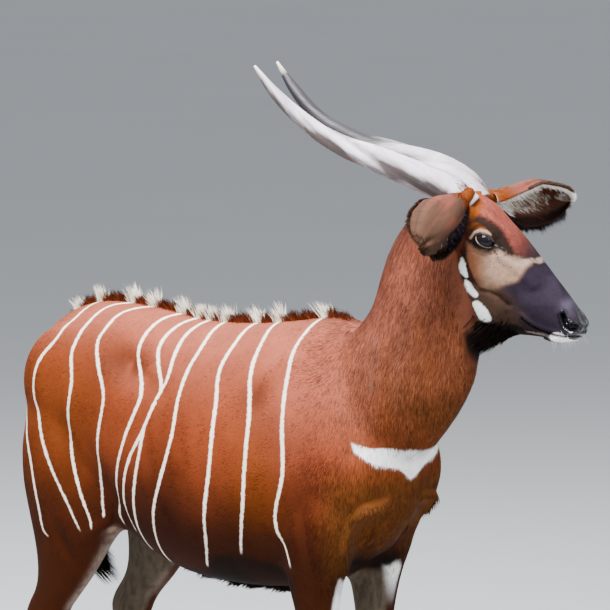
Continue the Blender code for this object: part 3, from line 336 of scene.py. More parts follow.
def noise(points, size, seed):
    """Smooth random field from -1 to 1: lattice values a size apart, joined by cubic weights."""
    scaled = points / size
    cell = np.floor(scaled).astype(np.int64)
    weight = scaled - cell
    weight = weight * weight * (3.0 - 2.0 * weight)
    total = np.zeros(len(points))
    for corner in range(8):
        step = np.array([(corner >> axis) & 1 for axis in range(3)])
        key = (cell + step) @ np.array((73856093, 19349663, 83492791)) + seed * 1013904223
        key = (key ^ (key >> 13)) * 1274126177
        key = key ^ (key >> 16)
        share = np.prod(np.where(step == 1, weight, 1.0 - weight), axis=1)
        total += share * ((key & 0xFFFF) / 32767.5 - 1.0)
    return total


def curve(rows, steps):
    """Catmull-Rom curve through the rows, every column alike."""
    table = np.array(rows, dtype=float)
    padded = np.vstack([2 * table[0] - table[1], table, 2 * table[-1] - table[-2]])
    t = np.linspace(0.0, 1.0, steps, endpoint=False)[None, :, None]
    a, b, c, d = (padded[k:k + len(table) - 1, None, :] for k in range(4))
    inner = 0.5 * (2 * b + (c - a) * t + (2 * a - 5 * b + 4 * c - d) * t ** 2
                   + (3 * b - a - 3 * c + d) * t ** 3)
    return np.vstack([inner.reshape(-1, table.shape[1]), table[-1]])


def head_place(points):
    """From the head's frame (along, across, up) to the maker's frame."""
    points = np.asarray(points, dtype=float)
    cos, sin = math.cos(HEAD_TURN), math.sin(HEAD_TURN)
    along, across = points[..., 0], points[..., 1]
    return np.stack([along * cos - across * sin, along * sin + across * cos,
                     points[..., 2]], axis=-1) + HEAD_ORIGIN


def head_way(vector):
    """A direction of the head's frame in the maker's frame."""
    return head_place(vector) - HEAD_ORIGIN


def head_frame(points):
    """From the maker's frame to the head's frame."""
    moved = points - HEAD_ORIGIN
    cos, sin = math.cos(HEAD_TURN), math.sin(HEAD_TURN)
    return np.stack([moved[..., 0] * cos + moved[..., 1] * sin,
                     moved[..., 1] * cos - moved[..., 0] * sin, moved[..., 2]], axis=-1)


def find_shift():
    """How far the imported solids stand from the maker's frame, read from the left eye's box."""
    low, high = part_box("eye_left")
    return (np.array(low) + np.array(high)) / 2 - head_place(EYE_PLACE)


SHIFT = find_shift()


def segment_distance(points, line, closed=False):
    """Distance of every point to the nearest stretch of a line through the given places."""
    line = np.asarray(line, dtype=float)
    if closed:
        line = np.vstack([line, line[:1]])
    starts, ways = line[:-1], line[1:] - line[:-1]
    best = np.full(len(points), 1e9)
    for start, way in zip(starts, ways):
        apart = points - start
        share = np.clip(apart @ way / max(way @ way, 1e-12), 0.0, 1.0)
        best = np.minimum(best, np.linalg.norm(apart - share[:, None] * way, axis=1))
    return best


def region(points, outline):
    """Signed distance to a closed outline in the plane: below zero inside it."""
    line = np.asarray(outline, dtype=float)
    inside = np.zeros(len(points), dtype=bool)
    for (ax, az), (bx, bz) in zip(line, np.roll(line, -1, axis=0)):
        if az == bz:
            continue
        spans = (points[:, 1] >= min(az, bz)) & (points[:, 1] < max(az, bz))
        inside ^= spans & (points[:, 0] < ax + (points[:, 1] - az) * (bx - ax) / (bz - az))
    return segment_distance(points, line, closed=True) * np.where(inside, -1.0, 1.0)


# Meshes from arrays

def make_mesh(name, points, faces):
    """A mesh object with all faces of one size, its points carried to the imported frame."""
    mesh = bpy.data.meshes.new(name)
    count, corners = faces.shape
    mesh.vertices.add(len(points))
    mesh.vertices.foreach_set("co", (points + SHIFT).astype(np.float32).ravel())
    mesh.loops.add(count * corners)
    mesh.loops.foreach_set("vertex_index", faces.astype(np.int32).ravel())
    mesh.polygons.add(count)
    mesh.polygons.foreach_set("loop_start", np.arange(0, count * corners, corners, dtype=np.int32))
    mesh.update(calc_edges=True)
    mesh.shade_smooth()
    made = bpy.data.objects.new(name, mesh)
    bpy.context.scene.collection.objects.link(made)
    return made


def read_points(mesh):
    """A mesh's points in the maker's frame."""
    found = np.empty(len(mesh.vertices) * 3, dtype=np.float32)
    mesh.vertices.foreach_get("co", found)
    return found.reshape(-1, 3).astype(float) - SHIFT


def read_normals(mesh):
    """A mesh's normals at its points."""
    found = np.empty(len(mesh.vertices) * 3, dtype=np.float32)
    mesh.vertices.foreach_get("normal", found)
    return found.reshape(-1, 3).astype(float)


def write_points(mesh, points):
    """Put moved points back into a mesh."""
    mesh.vertices.foreach_set("co", (points + SHIFT).astype(np.float32).ravel())
    mesh.update()


def write_colours(mesh, name, colours):
    """Store a colour at every point of a mesh."""
    layer = mesh.color_attributes.new(name, "FLOAT_COLOR", "POINT")
    full = np.ones((len(mesh.vertices), 4), dtype=np.float32)
    full[:, :3] = colours
    layer.data.foreach_set("color", full.ravel())


def write_values(mesh, name, values):
    """Store a number at every point of a mesh."""
    layer = mesh.attributes.new(name, "FLOAT", "POINT")
    layer.data.foreach_set("value", np.asarray(values, dtype=np.float32).ravel())


def tube_faces(rows, around):
    """Faces of a tube of rings with both ends closed on a middle point, all triangles."""
    i, j = np.meshgrid(np.arange(rows - 1), np.arange(around), indexing="ij")
    k = (j + 1) % around
    a, b = i * around + j, i * around + k
    c, d = (i + 1) * around + k, (i + 1) * around + j
    sides = np.concatenate([np.stack([a, b, c], -1).reshape(-1, 3),
                            np.stack([a, c, d], -1).reshape(-1, 3)])
    j = np.arange(around)
    k = (j + 1) % around
    first, last = np.full(around, rows * around), np.full(around, rows * around + 1)
    ends = np.concatenate([np.stack([first, k, j], -1),
                           np.stack([last, (rows - 1) * around + j, (rows - 1) * around + k], -1)])
    return np.concatenate([sides, ends])


def tube(rings):
    """Points and outward faces of a closed tube through an array of rings."""
    rows, around = rings.shape[:2]
    points = np.vstack([rings.reshape(-1, 3), rings[0].mean(axis=0), rings[-1].mean(axis=0)])
    faces = tube_faces(rows, around)
    a, b, c = (points[faces[:, k]] for k in range(3))
    if np.sum(a * np.cross(b, c)) < 0:
        faces = faces[:, ::-1]
    return points, faces


def loft(rows, side=1.0, around=40, steps=5, place=None):
    """Rings between top and low points: x and z go from the widest place towards the top by
    |sin|^(2/power) and towards the low point alike, y goes out by |cos|^(2/power)."""
    table = curve(rows, steps)[:, None, :]
    angle = np.linspace(0.0, 2 * math.pi, around, endpoint=False)[None, :]
    tx, tz, lx, lz, half, mid, share, upper, lower = (table[..., k] for k in range(9))
    middle_x, middle_z = tx + share * (lx - tx), tz + share * (lz - tz)
    cos, sin = np.cos(angle), np.sin(angle)
    power = np.where(sin >= 0, upper, lower)
    wide = np.sign(cos) * np.abs(cos) ** (2 / power) * np.maximum(half, 0.001)
    tall = np.abs(sin) ** (2 / power)
    x = middle_x + tall * (np.where(sin >= 0, tx, lx) - middle_x)
    z = middle_z + tall * (np.where(sin >= 0, tz, lz) - middle_z)
    rings = np.stack([x, side * mid + wide, z], axis=-1)
    return tube(rings if place is None else place(rings))


def swell(middle, radii, lean=0.0, turn=0.0, frame_axes=None):
    """An ellipsoid: rings of sine radius along an upright axis, leaned and then turned."""
    rise = np.linspace(0.06, math.pi - 0.06, 18)[:, None]
    round_ = np.linspace(0.0, 2 * math.pi, 28, endpoint=False)[None, :]
    rings = np.stack([np.sin(rise) * np.cos(round_), np.sin(rise) * np.sin(round_),
                      np.cos(rise) * np.ones_like(round_)], axis=-1) * np.array(radii)
    if frame_axes is None:
        lean = math.radians(lean)
        tilt = np.array(((math.cos(lean), 0, math.sin(lean)), (0, 1, 0),
                         (-math.sin(lean), 0, math.cos(lean))))
        spin = np.array(((math.cos(turn), -math.sin(turn), 0),
                         (math.sin(turn), math.cos(turn), 0), (0, 0, 1)))
        frame_axes = (spin @ tilt).T
    return tube(rings @ frame_axes + np.array(middle))


def sections(rows, forward=0.0):
    """A table of sections in metres and plain shares, moved forward by a step."""
    table = np.array(rows) / SECTION_UNITS
    table[:, (0, 2)] += forward
    return table


def path_axes(path):
    """Along, side and up directions at every point of a path, the side kept level."""
    along = unit(np.gradient(path, axis=0))
    side = unit(np.cross(along, np.array((0.0, 0.0, 1.0))))
    return along, side, np.cross(side, along)


def tail_flesh():
    """The tail's dock and the core of its tuft."""
    path = curve(TAIL, 6)
    along = unit(np.gradient(path[:, :3], axis=0))
    side = tangent(np.array((0.0, 1.0, 0.0)) + 0 * along, along)
    front = np.cross(side, along)
    angle = np.linspace(0.0, 2 * math.pi, 20, endpoint=False)[None, :, None]
    rings = path[:, None, :3] + path[:, None, 3:] * (side[:, None, :] * np.cos(angle)
                                                    + front[:, None, :] * np.sin(angle))
    return tube(rings)


def head_flesh():
    """The head's loft with its brows, cheeks, nose wings, chin, lids and ear roots."""
    pieces = [loft(sections(HEAD), steps=8, around=64, place=head_place)]
    for word, side in SIDES:
        for (a, y, z), radii, lean in HEAD_SWELLS:
            pieces.append(swell(head_place((a, side * y, z)), radii, lean, HEAD_TURN))
        eye = head_place(EYE_PLACE * (1.0, side, 1.0))
        pieces.append(swell(eye, (EYE_RADIUS + 0.0036,) * 3))
        root, along, _ = EARS[word]
        axis = unit(head_way(along))
        across = unit(np.cross(axis, (0.0, 0.0, 1.0)))
        pieces.append(swell(head_place(np.array(root) + np.array(along) * 0.004),
                            (0.015, 0.016, 0.03),
                            frame_axes=np.array((across, np.cross(axis, across), axis))))
    return pieces


def body_flesh():
    """Trunk, neck, legs, muscles, dewclaws and tail as separate closed surfaces."""
    pieces = [loft(sections(TORSO), around=72), loft(sections(NECK), around=56), tail_flesh()]
    for word, side in SIDES:
        for leg, rows in (("fore", FORE_LEG), ("hind", HIND_LEG)):
            pieces.append(loft(sections(rows, STEP[leg][side]), side))
        for (x, y, z), radii, lean in MUSCLES:
            pieces.append(swell((x, side * y, z), radii, lean))
        for leg, x, y, z in DEWCLAWS:
            for offset in (-DEWCLAW_SPREAD, DEWCLAW_SPREAD):
                pieces.append(swell((x + STEP[leg][side], side * y + offset, z), DEWCLAW_SIZE, 20))
    return pieces


def gather(pieces):
    """Points and faces of several surfaces as one."""
    points, faces, start = [], [], 0
    for some, corners in pieces:
        points.append(some)
        faces.append(corners + start)
        start += len(some)
    return np.vstack(points), np.vstack(faces)


def bake(piece):
    """Replace a piece's mesh by what its modifiers make of it."""
    graph = bpy.context.evaluated_depsgraph_get()
    mesh = bpy.data.meshes.new_from_object(piece.evaluated_get(graph))
    piece.modifiers.clear()
    old, piece.data = piece.data, mesh
    bpy.data.meshes.remove(old)
    return piece


def melt(name, pieces, voxel):
    """Overlapping closed surfaces melted into one by a voxel remesh."""
    made = make_mesh(name, *gather(pieces))
    step = made.modifiers.new("melt", "REMESH")
    step.mode = "VOXEL"
    step.voxel_size = voxel
    return bake(made)


def relax(mesh, points, rounds, weight):
    """Move every point towards its neighbours' mean by half its weight, round after round."""
    edges = np.empty(len(mesh.edges) * 2, dtype=np.int32)
    mesh.edges.foreach_get("vertices", edges)
    one, two = edges.reshape(-1, 2).T
    count = np.maximum(np.bincount(np.concatenate([one, two]), minlength=len(points)), 1)[:, None]
    for _ in range(rounds):
        total = np.stack([np.bincount(one, points[two, k], len(points))
                          + np.bincount(two, points[one, k], len(points)) for k in range(3)], -1)
        points = points + (total / count - points) * (0.5 * weight[:, None])
    return points


def settle(points, target, way=None):
    """Points carried to the nearest places of a piece or, given a way, along it to where they
    first meet the piece; and which of them moved."""
    turn = np.eye(3) if way is None else np.array(Vector(way).to_track_quat("Z", "Y").to_matrix())
    mesh = bpy.data.meshes.new("settling")
    mesh.vertices.add(len(points))
    placed = ((points + SHIFT) @ turn).astype(np.float32)
    mesh.vertices.foreach_set("co", placed.ravel())
    piece = bpy.data.objects.new("settling", mesh)
    piece.matrix_world = Matrix(turn.tolist()).to_4x4()
    bpy.context.scene.collection.objects.link(piece)
    step = piece.modifiers.new("settle", "SHRINKWRAP")
    step.target = target
    if way is not None:
        step.wrap_method = "PROJECT"
        step.use_project_z = True
    bake(piece)
    found = np.empty(len(points) * 3, dtype=np.float32)
    piece.data.vertices.foreach_get("co", found)
    found = found.reshape(-1, 3)
    mesh = piece.data
    bpy.data.objects.remove(piece)
    bpy.data.meshes.remove(mesh)
    moved = np.abs(found - placed).max(axis=1) > 1e-6
    return found.astype(float) @ turn.T - SHIFT, moved


def past_head_cut(points):
    """How far in front of the cut between head and neck every point lies."""
    place, way = HEAD_CUT
    return (points - head_place(place)) @ unit(head_way(way))


def past_neck_cut(points):
    """How far above the cut between neck and trunk every point lies."""
    place, way = NECK_CUT
    return (points - np.array(place)) @ unit(np.array(way))


def refine(skin, wanted, rounds=2):
    """Split the faces whose middles are wanted in a round, so that they can carry detail."""
    mesh = skin.data
    for number in range(rounds):
        middles = np.empty(len(mesh.polygons) * 3, dtype=np.float32)
        mesh.polygons.foreach_get("center", middles)
        mesh.polygons.foreach_set("select", wanted(middles.reshape(-1, 3) - SHIFT, number))
        work = bmesh.new()
        work.from_mesh(mesh)
        chosen = {face.index for face in work.faces if face.select}
        edges = [edge for edge in work.edges
                 if any(face.index in chosen for face in edge.link_faces)]
        bmesh.ops.subdivide_edges(work, edges=edges, cuts=1, use_grid_fill=True)
        bmesh.ops.triangulate(work, faces=[f for f in work.faces if len(f.verts) > 4])
        work.to_mesh(mesh)
        work.free()


def marked(lines):
    """What is wanted finer under the markings: first broadly, then close to their edges."""
    def wanted(points, number):
        x, y, z = points.T
        far, _ = stripe_distance(points, lines)
        if number == 0:
            return (far < 0.017) | ((x > 0.28) & (z > 0.52) & (z < 0.95))
        across = np.abs(y)
        edge = np.minimum(*(np.abs(z - np.interp(across, CRESCENT[0], row))
                            for row in CRESCENT[1:]))
        mirrored = np.stack([x, across, z], axis=1)
        fold = np.minimum(*(segment_distance(mirrored, curve(f, 4)) for f in CHEST_FOLDS))
        return (far < 0.01) | ((x > 0.36) & (across < 0.145) & (edge < 0.008)) | (fold < 0.014)
    return wanted


def eye_axes(side):
    """The eye's middle, and its forward, upward and outward directions."""
    middle = head_place(EYE_PLACE * (1.0, side, 1.0))
    outward = unit(head_way((0.3, side * 1.0, 0.1)))
    forward = tangent(head_way((0.88, 0.0, -0.42)), outward)
    upward = np.cross(outward, forward) * side
    return middle, forward, upward, outward


# Half length and half height of the eye's opening, seen from straight outside
EYE_OPENING = (0.0186, 0.0108)


def lid_edge(side, share, grow=0.0, lift=0.0):
    """The almond edge of the lids at shares of one turn, on a ball a little over the eyeball.

    Forward runs with the cosine; upward with the sine to a power, fuller above than below; and
    the front corner is drawn down and forward into the tear duct.
    """
    middle, forward, upward, outward = eye_axes(side)
    angle = np.asarray(share) * 2 * math.pi
    cos, sin = np.cos(angle), np.sin(angle)
    p = cos * (EYE_OPENING[0] + grow)
    q = np.where(sin > 0, np.abs(sin) ** 1.05 * (EYE_OPENING[1] + grow) * 1.06,
                 -np.abs(sin) ** 1.25 * (EYE_OPENING[1] + grow) * 0.86)
    corner = ramp(0.8, 1.0, cos)
    p = p + corner * 0.0045
    q = q - corner * 0.002
    radius = EYE_RADIUS + 0.001 + lift
    reach = np.minimum(p ** 2 + q ** 2, radius ** 2 * 0.96)
    depth = np.sqrt(np.maximum(radius ** 2 - reach, 1e-8))
    return middle + p[:, None] * forward + q[:, None] * upward + depth[:, None] * outward


def carve_head(points, normals):
    """Open the lids over the eyeballs, sink the nostrils, crease the mouth and shape the lips."""
    local = head_frame(points)
    flat, along, across = local[:, ::2], local[:, 0], np.abs(local[:, 1])

    def ridge(line, width):
        return bell(segment_distance(flat, line), width)

    for side in (-1.0, 1.0):
        middle, forward, upward, outward = eye_axes(side)
        apart = points - middle
        p, q, r = apart @ forward, apart @ upward, apart @ outward
        inner = (p / (EYE_OPENING[0] + 0.001)) ** 2 + (q / (EYE_OPENING[1] + 0.001)) ** 2
        sink = (1.0 - ramp(0.8, 1.25, inner)) * (r > 0) * (np.linalg.norm(apart, axis=1) < 0.04)
        corner = spot(p, q, (0.031, -0.004), (0.009, 0.004)) * (r > 0)
        points = points - outward * (sink * np.maximum(r - 0.008, 0.0) + 0.003 * corner)[:, None]
    beside = across > 0.03
    lift = beside * (along < 0.12) * (0.0022 * ridge(LID_FOLD, 0.0042)
                                      - 0.002 * ridge(LID_FOLD + (-0.002, 0.009), 0.003)
                                      - 0.0014 * ridge(UNDER_EYE, 0.003))
    lift += beside * (0.0028 * ridge(CHEEK_BONE, 0.01) - 0.003 * ridge(JAW_LINE[3:], 0.007))
    front = ramp(0.126, 0.14, along) * (across > 0.003)
    above = flat[:, 1] > np.interp(along, *MOUTH_LINE.T)
    mouth = segment_distance(flat, MOUTH_LINE)
    lift += front * (0.0026 * bell(mouth - 0.0068, 0.0045) * above - 0.0046 * bell(mouth, 0.0022))
    hole = nostril_distance(flat)
    wing = (across > 0.01) & (along > 0.2)
    pad = np.hypot(along - 0.243, flat[:, 1] - 1.224)
    lift += wing * (0.0026 * bell(hole - 0.0042, 0.0026) + 0.0025 * bell(pad, 0.009)
                    - 0.0105 * ramp(0.0024, -0.003, hole))
    groove = bell(local[:, 1], 0.0022) * ramp(0.232, 0.246, along)
    return points + normals * (lift - 0.002 * groove)[:, None]


def nostril_distance(flat):
    """Signed distance to the comma of the nostril: a slit above that widens into a bowl."""
    best = np.full(len(flat), 1e9)
    for one, two in zip(NOSTRIL[:-1], NOSTRIL[1:]):
        apart, way = flat - one[:2], (two - one)[:2]
        share = np.clip(apart @ way / (way @ way), 0.0, 1.0)
        reach = one[2] + share * (two[2] - one[2])
        best = np.minimum(best, np.linalg.norm(apart - share[:, None] * way, axis=1) - reach)
    return best


def shape_body(points, normals):
    """Muscles, hollows, ribs and loose folds: rounded bumps and ridges along the normals."""
    x, y, z = points.T
    across = np.abs(y)
    lift = np.zeros(len(points))
    for (cx, cz), radii, turn, height, beyond in RELIEF:
        cos, sin = math.cos(math.radians(turn)), math.sin(math.radians(turn))
        p, q = x - cx, z - cz
        lift += (height * spot(p * cos + q * sin, q * cos - p * sin, (0.0, 0.0), radii)
                 * ramp(beyond - 0.05, beyond, across))
    ribs = np.sin((x + 0.28 * z) * 2 * math.pi / 0.052)
    lift += 0.0004 * ribs * np.exp(-((x - 0.06) / 0.16) ** 4 - ((z - 0.88) / 0.13) ** 4)
    mirrored = np.stack([x, across, z], axis=1)
    for fold, (height, width) in zip(CHEST_FOLDS, ((0.0115, 0.0085), (0.005, 0.008))):
        lift += height * bell(segment_distance(mirrored, curve(fold, 4)), width)
    lift -= 0.01 * spot(x, z, (0.455, 0.755), (0.05, 0.05)) * bell(across - 0.07, 0.035)
    lift -= 0.008 * spot(x, z, (0.375, 0.65), (0.05, 0.035)) * bell(across - 0.045, 0.03)
    return points + normals * lift[:, None]


# Markings

def to_linear(colour):
    """A displayed colour as linear light."""
    colour = np.asarray(colour, dtype=float)
    return np.where(colour <= 0.04045, colour / 12.92, ((colour + 0.055) / 1.055) ** 2.4)


def blend(colours, other, mask):
    """Colours carried towards another by a mask."""
    mask = np.clip(mask, 0.0, 1.0)[:, None]
    return colours * (1.0 - mask) + np.asarray(other) * mask


class Tones:
    """Colours at many places, over which further ones are laid."""

    def __init__(self, points, colours, name):
        self.colours = colours
        self.made = np.tile(colours[name], (len(points), 1))

    def lay(self, colour, mask):
        """Carry the colours towards another, given by its name or as numbers, by a mask."""
        other = self.colours[colour] if isinstance(colour, str) else colour
        self.made = blend(self.made, other, mask)

    def shade(self, factor):
        """Darken or lighten every place by its factor."""
        self.made = self.made * factor[:, None]


def stripe_lines(skin):
    """The stripes and their mirror images, laid on the skin of their own side."""
    lines = [curve(np.array(stripe) * (1, side, 1) / 1000.0, 5)
             for stripe in STRIPES for side in (1.0, -1.0)]
    places, _ = settle(np.vstack(lines), skin)
    return np.split(places, np.cumsum([len(line) for line in lines])[:-1])


def stripe_distance(points, lines):
    """Distance to the nearest stripe, and how far down that stripe it is."""
    best = np.full(len(points), 1e9)
    down = np.zeros(len(points))
    for line in lines:
        low, high = line.min(axis=0) - 0.03, line.max(axis=0) + 0.03
        close = np.nonzero(np.all((points > low) & (points < high), axis=1))[0]
        some = points[close]
        for i in range(len(line) - 1):
            way = line[i + 1] - line[i]
            apart = some - line[i]
            share = np.clip(apart @ way / max(way @ way, 1e-12), 0.0, 1.0)
            far = np.linalg.norm(apart - share[:, None] * way, axis=1)
            better = far < best[close]
            best[close[better]] = far[better]
            down[close[better]] = ((i + share) / (len(line) - 1))[better]
    return best, down


def body_colours(points, normals, lines, colours):
    """The coat's colours on trunk, neck, legs and tail, with painted sheen and warm light on the
    upper parts, and painted shade low on the trunk, in its hollows, between the chest folds and in
    the armpit.
    """
    x, y, z = points.T
    across = np.abs(y)
    wide, fine, mottle = noise(points, 0.11, 1), noise(points, 0.02, 2), noise(points, 0.045, 12)
    made = Tones(points, colours, "chestnut")
    # Painted highlight: sheen where the rump faces up, along the top of the back and on the
    # shoulder
    made.lay("sheen", 0.5 * ramp(0.15, 0.95, normals[:, 2]) * ramp(-0.6, -0.35, x))
    made.lay("sheen", 0.3 * ramp(0.98, 1.14, z + 0.03 * wide) * ramp(-0.3, 0.1, x))
    made.lay("sheen", 0.45 * spot(x, z, (0.335, 1.03), (0.11, 0.12)) * ramp(0.06, 0.12, across))
    # Painted warm light (gold) on the rump, the thigh and by the elbow, and painted shade (deep
    # brown) low on the body
    made.lay("gold", 0.45 * ramp(-0.34, -0.48, x) * ramp(1.12, 0.98, z + 0.05 * wide))
    made.lay("deep", 0.88 * ramp(1.0, 0.7, z + 0.045 * wide + 0.015 * mottle))
    made.lay("gold", 0.55 * spot(x, z, (-0.33, 0.94), (0.1, 0.12)))
    made.lay("gold", 0.5 * spot(x, z, (0.235, 0.83), (0.055, 0.11)))
    # Painted shade: deep brown in the sunken hollow before the hip, in the crease in front of the
    # thigh and in the hollow behind the shoulder; then the lower trunk darkened
    hollow = spot(x, z + 0.1 * (x + 0.165), (-0.165, 1.06), (0.085, 0.034))
    made.lay("deep", 0.62 * hollow * ramp(-0.9, 0.2, fine + wide))
    made.lay("deep", 0.26 * spot(x, z, (-0.235, 0.93), (0.035, 0.13)))
    made.lay("deep", 0.55 * spot(x, z, (0.215, 1.025), (0.03, 0.04)))
    made.shade(1.0 - 0.42 * ramp(0.9, 0.7, z + 0.03 * wide) * ramp(-0.32, -0.2, x))
    made.shade(1.0 + 0.1 * mottle + 0.06 * wide)
    along = past_neck_cut(points)
    front = x - 0.42 - (z - 0.95) * 0.42
    neck = Tones(points, colours, "neck")
    # Painted sheen on the back of the neck
    neck.lay("sheen", 0.35 * ramp(0.1, -0.06, x - 0.42 - (z - 1.05) * 0.55 + 0.03 * wide))
    neck.lay("olive", 0.75 * ramp(0.02, 0.14, front + 0.03 * wide) * ramp(1.14, 0.98, z))
    neck.lay("gold", 0.3 * ramp(0.0, 0.1, front)
             + 0.22 * ramp(0.0, 0.8, noise(points * (1, 1, 0.4), 0.03, 14)))
    neck.shade(1.0 + 0.16 * mottle - 0.26 * ramp(1.12, 1.28, z + 0.04 * wide))
    made.lay(neck.made, ramp(-0.13, 0.1, along + 0.03 * wide + 0.012 * fine))
    wisps = segment_distance(np.stack([x + 0.004 * fine, z], axis=1), NECK_WISPS)
    made.lay("cream", 0.3 * ramp(0.007, 0.002, wisps) * (across > 0.03)
             * ramp(-0.2, 0.5, noise(points * (1, 1, 0.2), 0.004, 31)))
    made.lay(colours["olive"] * 1.25, 0.68 * ramp(0.36, 0.44, x) * ramp(0.92, 0.84, z)
             * (1.0 + 0.2 * fine))
    # Between the chest folds: gold tufts of hair, and painted shade of deep brown that deepens
    # downwards
    arch = ramp(0.11, 0.075, across + 0.006 * fine) * ramp(0.8, 0.74, z) * ramp(0.36, 0.4, x)
    tufts = ramp(-0.2, 0.6, noise(points * (1, 1, 0.25), 0.0045, 15))
    made.lay("gold", 0.3 * arch * tufts)
    made.lay("deep", arch * (0.15 + 0.55 * ramp(0.76, 0.68, z)) * (1 - 0.5 * tufts))
    # Gold along the ridge of the first chest fold: a fringe of lighter hair, and painted highlight
    crease = segment_distance(np.stack([x, across, z], axis=1), CHEST_FOLDS[0])
    made.lay("gold", 0.5 * ramp(0.0065, 0.0015, crease) * ramp(0.66, 0.7, z))
    low, high = (np.interp(across, CRESCENT[0], row) for row in CRESCENT[1:])
    white = ramp(-0.0015, 0.003, np.minimum(z - low, high - z) + 0.0022 * fine)
    made.lay("white", white * (x > 0.38) * ramp(0.134, 0.129, across))
    belly = ramp(0.01, -0.022, z - np.interp(x, *BELLY_EDGE) + 0.006 * fine)
    made.lay("black", 0.88 * belly * ramp(-0.2, -0.1, x) * ramp(0.33, 0.28, x))
    far, down = stripe_distance(points, lines)
    half = 0.004 - 0.002 * ramp(0.6, 1.0, down) + 0.0005 * noise(points, 0.05, 9)
    stripe = ramp(0.0014, -0.001, far - half + 0.0012 * noise(points, 0.0045, 17))
    made.lay("stripe", stripe * ramp(0.06, 0.02, along) * ramp(0.585, 0.605, z)
             * ramp(1.0, 0.97, down))
    made.lay("dark", 0.45 * ramp(0.02, 0.006, across) * ramp(1.1, 1.13, z)
             * (x < 0.36) * (x > -0.56))
    leg_colours(points, normals, made, wide, fine)
    return made.made


def leg_colours(points, normals, made, wide, fine):
    """The legs: dark fronts, cream inner faces in a tone darkened with painted shade, white
    patches over the hooves and a painted shadow in the armpit.
    """
    x, y, z = points.T
    across, forward, inward = np.abs(y), normals[:, 0], -normals[:, 1] * np.sign(y)
    on_leg = np.abs(x) > 0.15
    made.lay("deep", 0.4 * ramp(0.72, 0.6, z + 0.02 * wide) * on_leg)
    # Painted shadow: black in the sunken armpit
    pit = spot(x, z, (0.372, 0.652), (0.05, 0.042)) * ramp(0.115, 0.075, across + 0.006 * fine)
    made.lay("black", 0.9 * np.clip(1.4 * pit, 0, 1))
    # Cream on the inner faces: pale hair, in a tone darkened with painted shade
    cream = ramp(0.3, 0.7, inward + 0.25 * forward + 0.1 * fine) * ramp(0.34, 0.42, z) * on_leg
    made.lay("cream", 0.85 * cream * ramp(0.655, 0.625, z + 0.01 * fine))
    grizzle = ramp(-0.3, 0.8, noise(points * (1, 1, 0.35), 0.006, 16))
    made.lay("dark", 0.42 * grizzle * cream * ramp(0.655, 0.625, z))
    made.lay("dark", 0.88 * ramp(0.35, 0.75, forward + 0.15 * fine) * ramp(0.44, 0.36, z))
    made.lay("black", 0.75 * ramp(0.03, 0.01, np.abs(z - 0.435)) * (x > 0.0)
             * ramp(-0.2, 0.4, inward + 0.4 * forward))
    made.lay("chestnut", 0.35 * ramp(0.3, 0.7, -forward) * ramp(0.4, 0.34, z))
    patch = (ramp(0.118, 0.108, across) * ramp(0.35, 0.37, x) * ramp(0.44, 0.5, z)
             * ramp(0.662, 0.645, z + 0.01 * fine) * ramp(0.05, 0.35, inward + 0.55 * forward))
    made.lay("white", 0.85 * patch)
    edge = segment_distance(points[:, ::2], THIGH_FRONT)
    stripe = (ramp(0.026, 0.012, edge + 0.004 * fine) * ramp(-0.55, 0.05, inward) * (x < -0.15)
              * ramp(0.75, 0.35, inward))
    made.lay("pale", 0.7 * stripe * ramp(0.72, 0.68, z) * (1.0 - 0.5 * grizzle))
    fold = np.hypot(np.hypot(x + 0.24, z - 0.692), across - 0.141)
    made.lay("cheek", 0.85 * ramp(0.015, 0.008, fold))
    made.lay("white", 0.8 * ramp(0.2, 0.6, inward) * ramp(0.36, 0.3, z) * ramp(0.14, 0.18, z)
             * ramp(0.9, 0.5, np.abs(forward)))
    sides = ramp(0.35, 0.62, np.abs(normals[:, 1]) + 0.25 * forward)
    made.lay("white", 0.92 * np.exp(-((z - 0.088) / 0.014) ** 4) * sides)
    made.lay("black", 0.75 * bell(z - 0.125, 0.016) * ramp(0.1, -0.5, forward))
    made.lay("black", 0.85 * ramp(0.068, 0.058, z))


def inside(flat, outline, stray, soft=0.003):
    """One inside a rounded outline, with a soft and slightly ragged edge."""
    rounded = curve(np.vstack([outline, outline[:1]]), 3)
    return ramp(soft, -soft, region(flat, rounded) + stray)


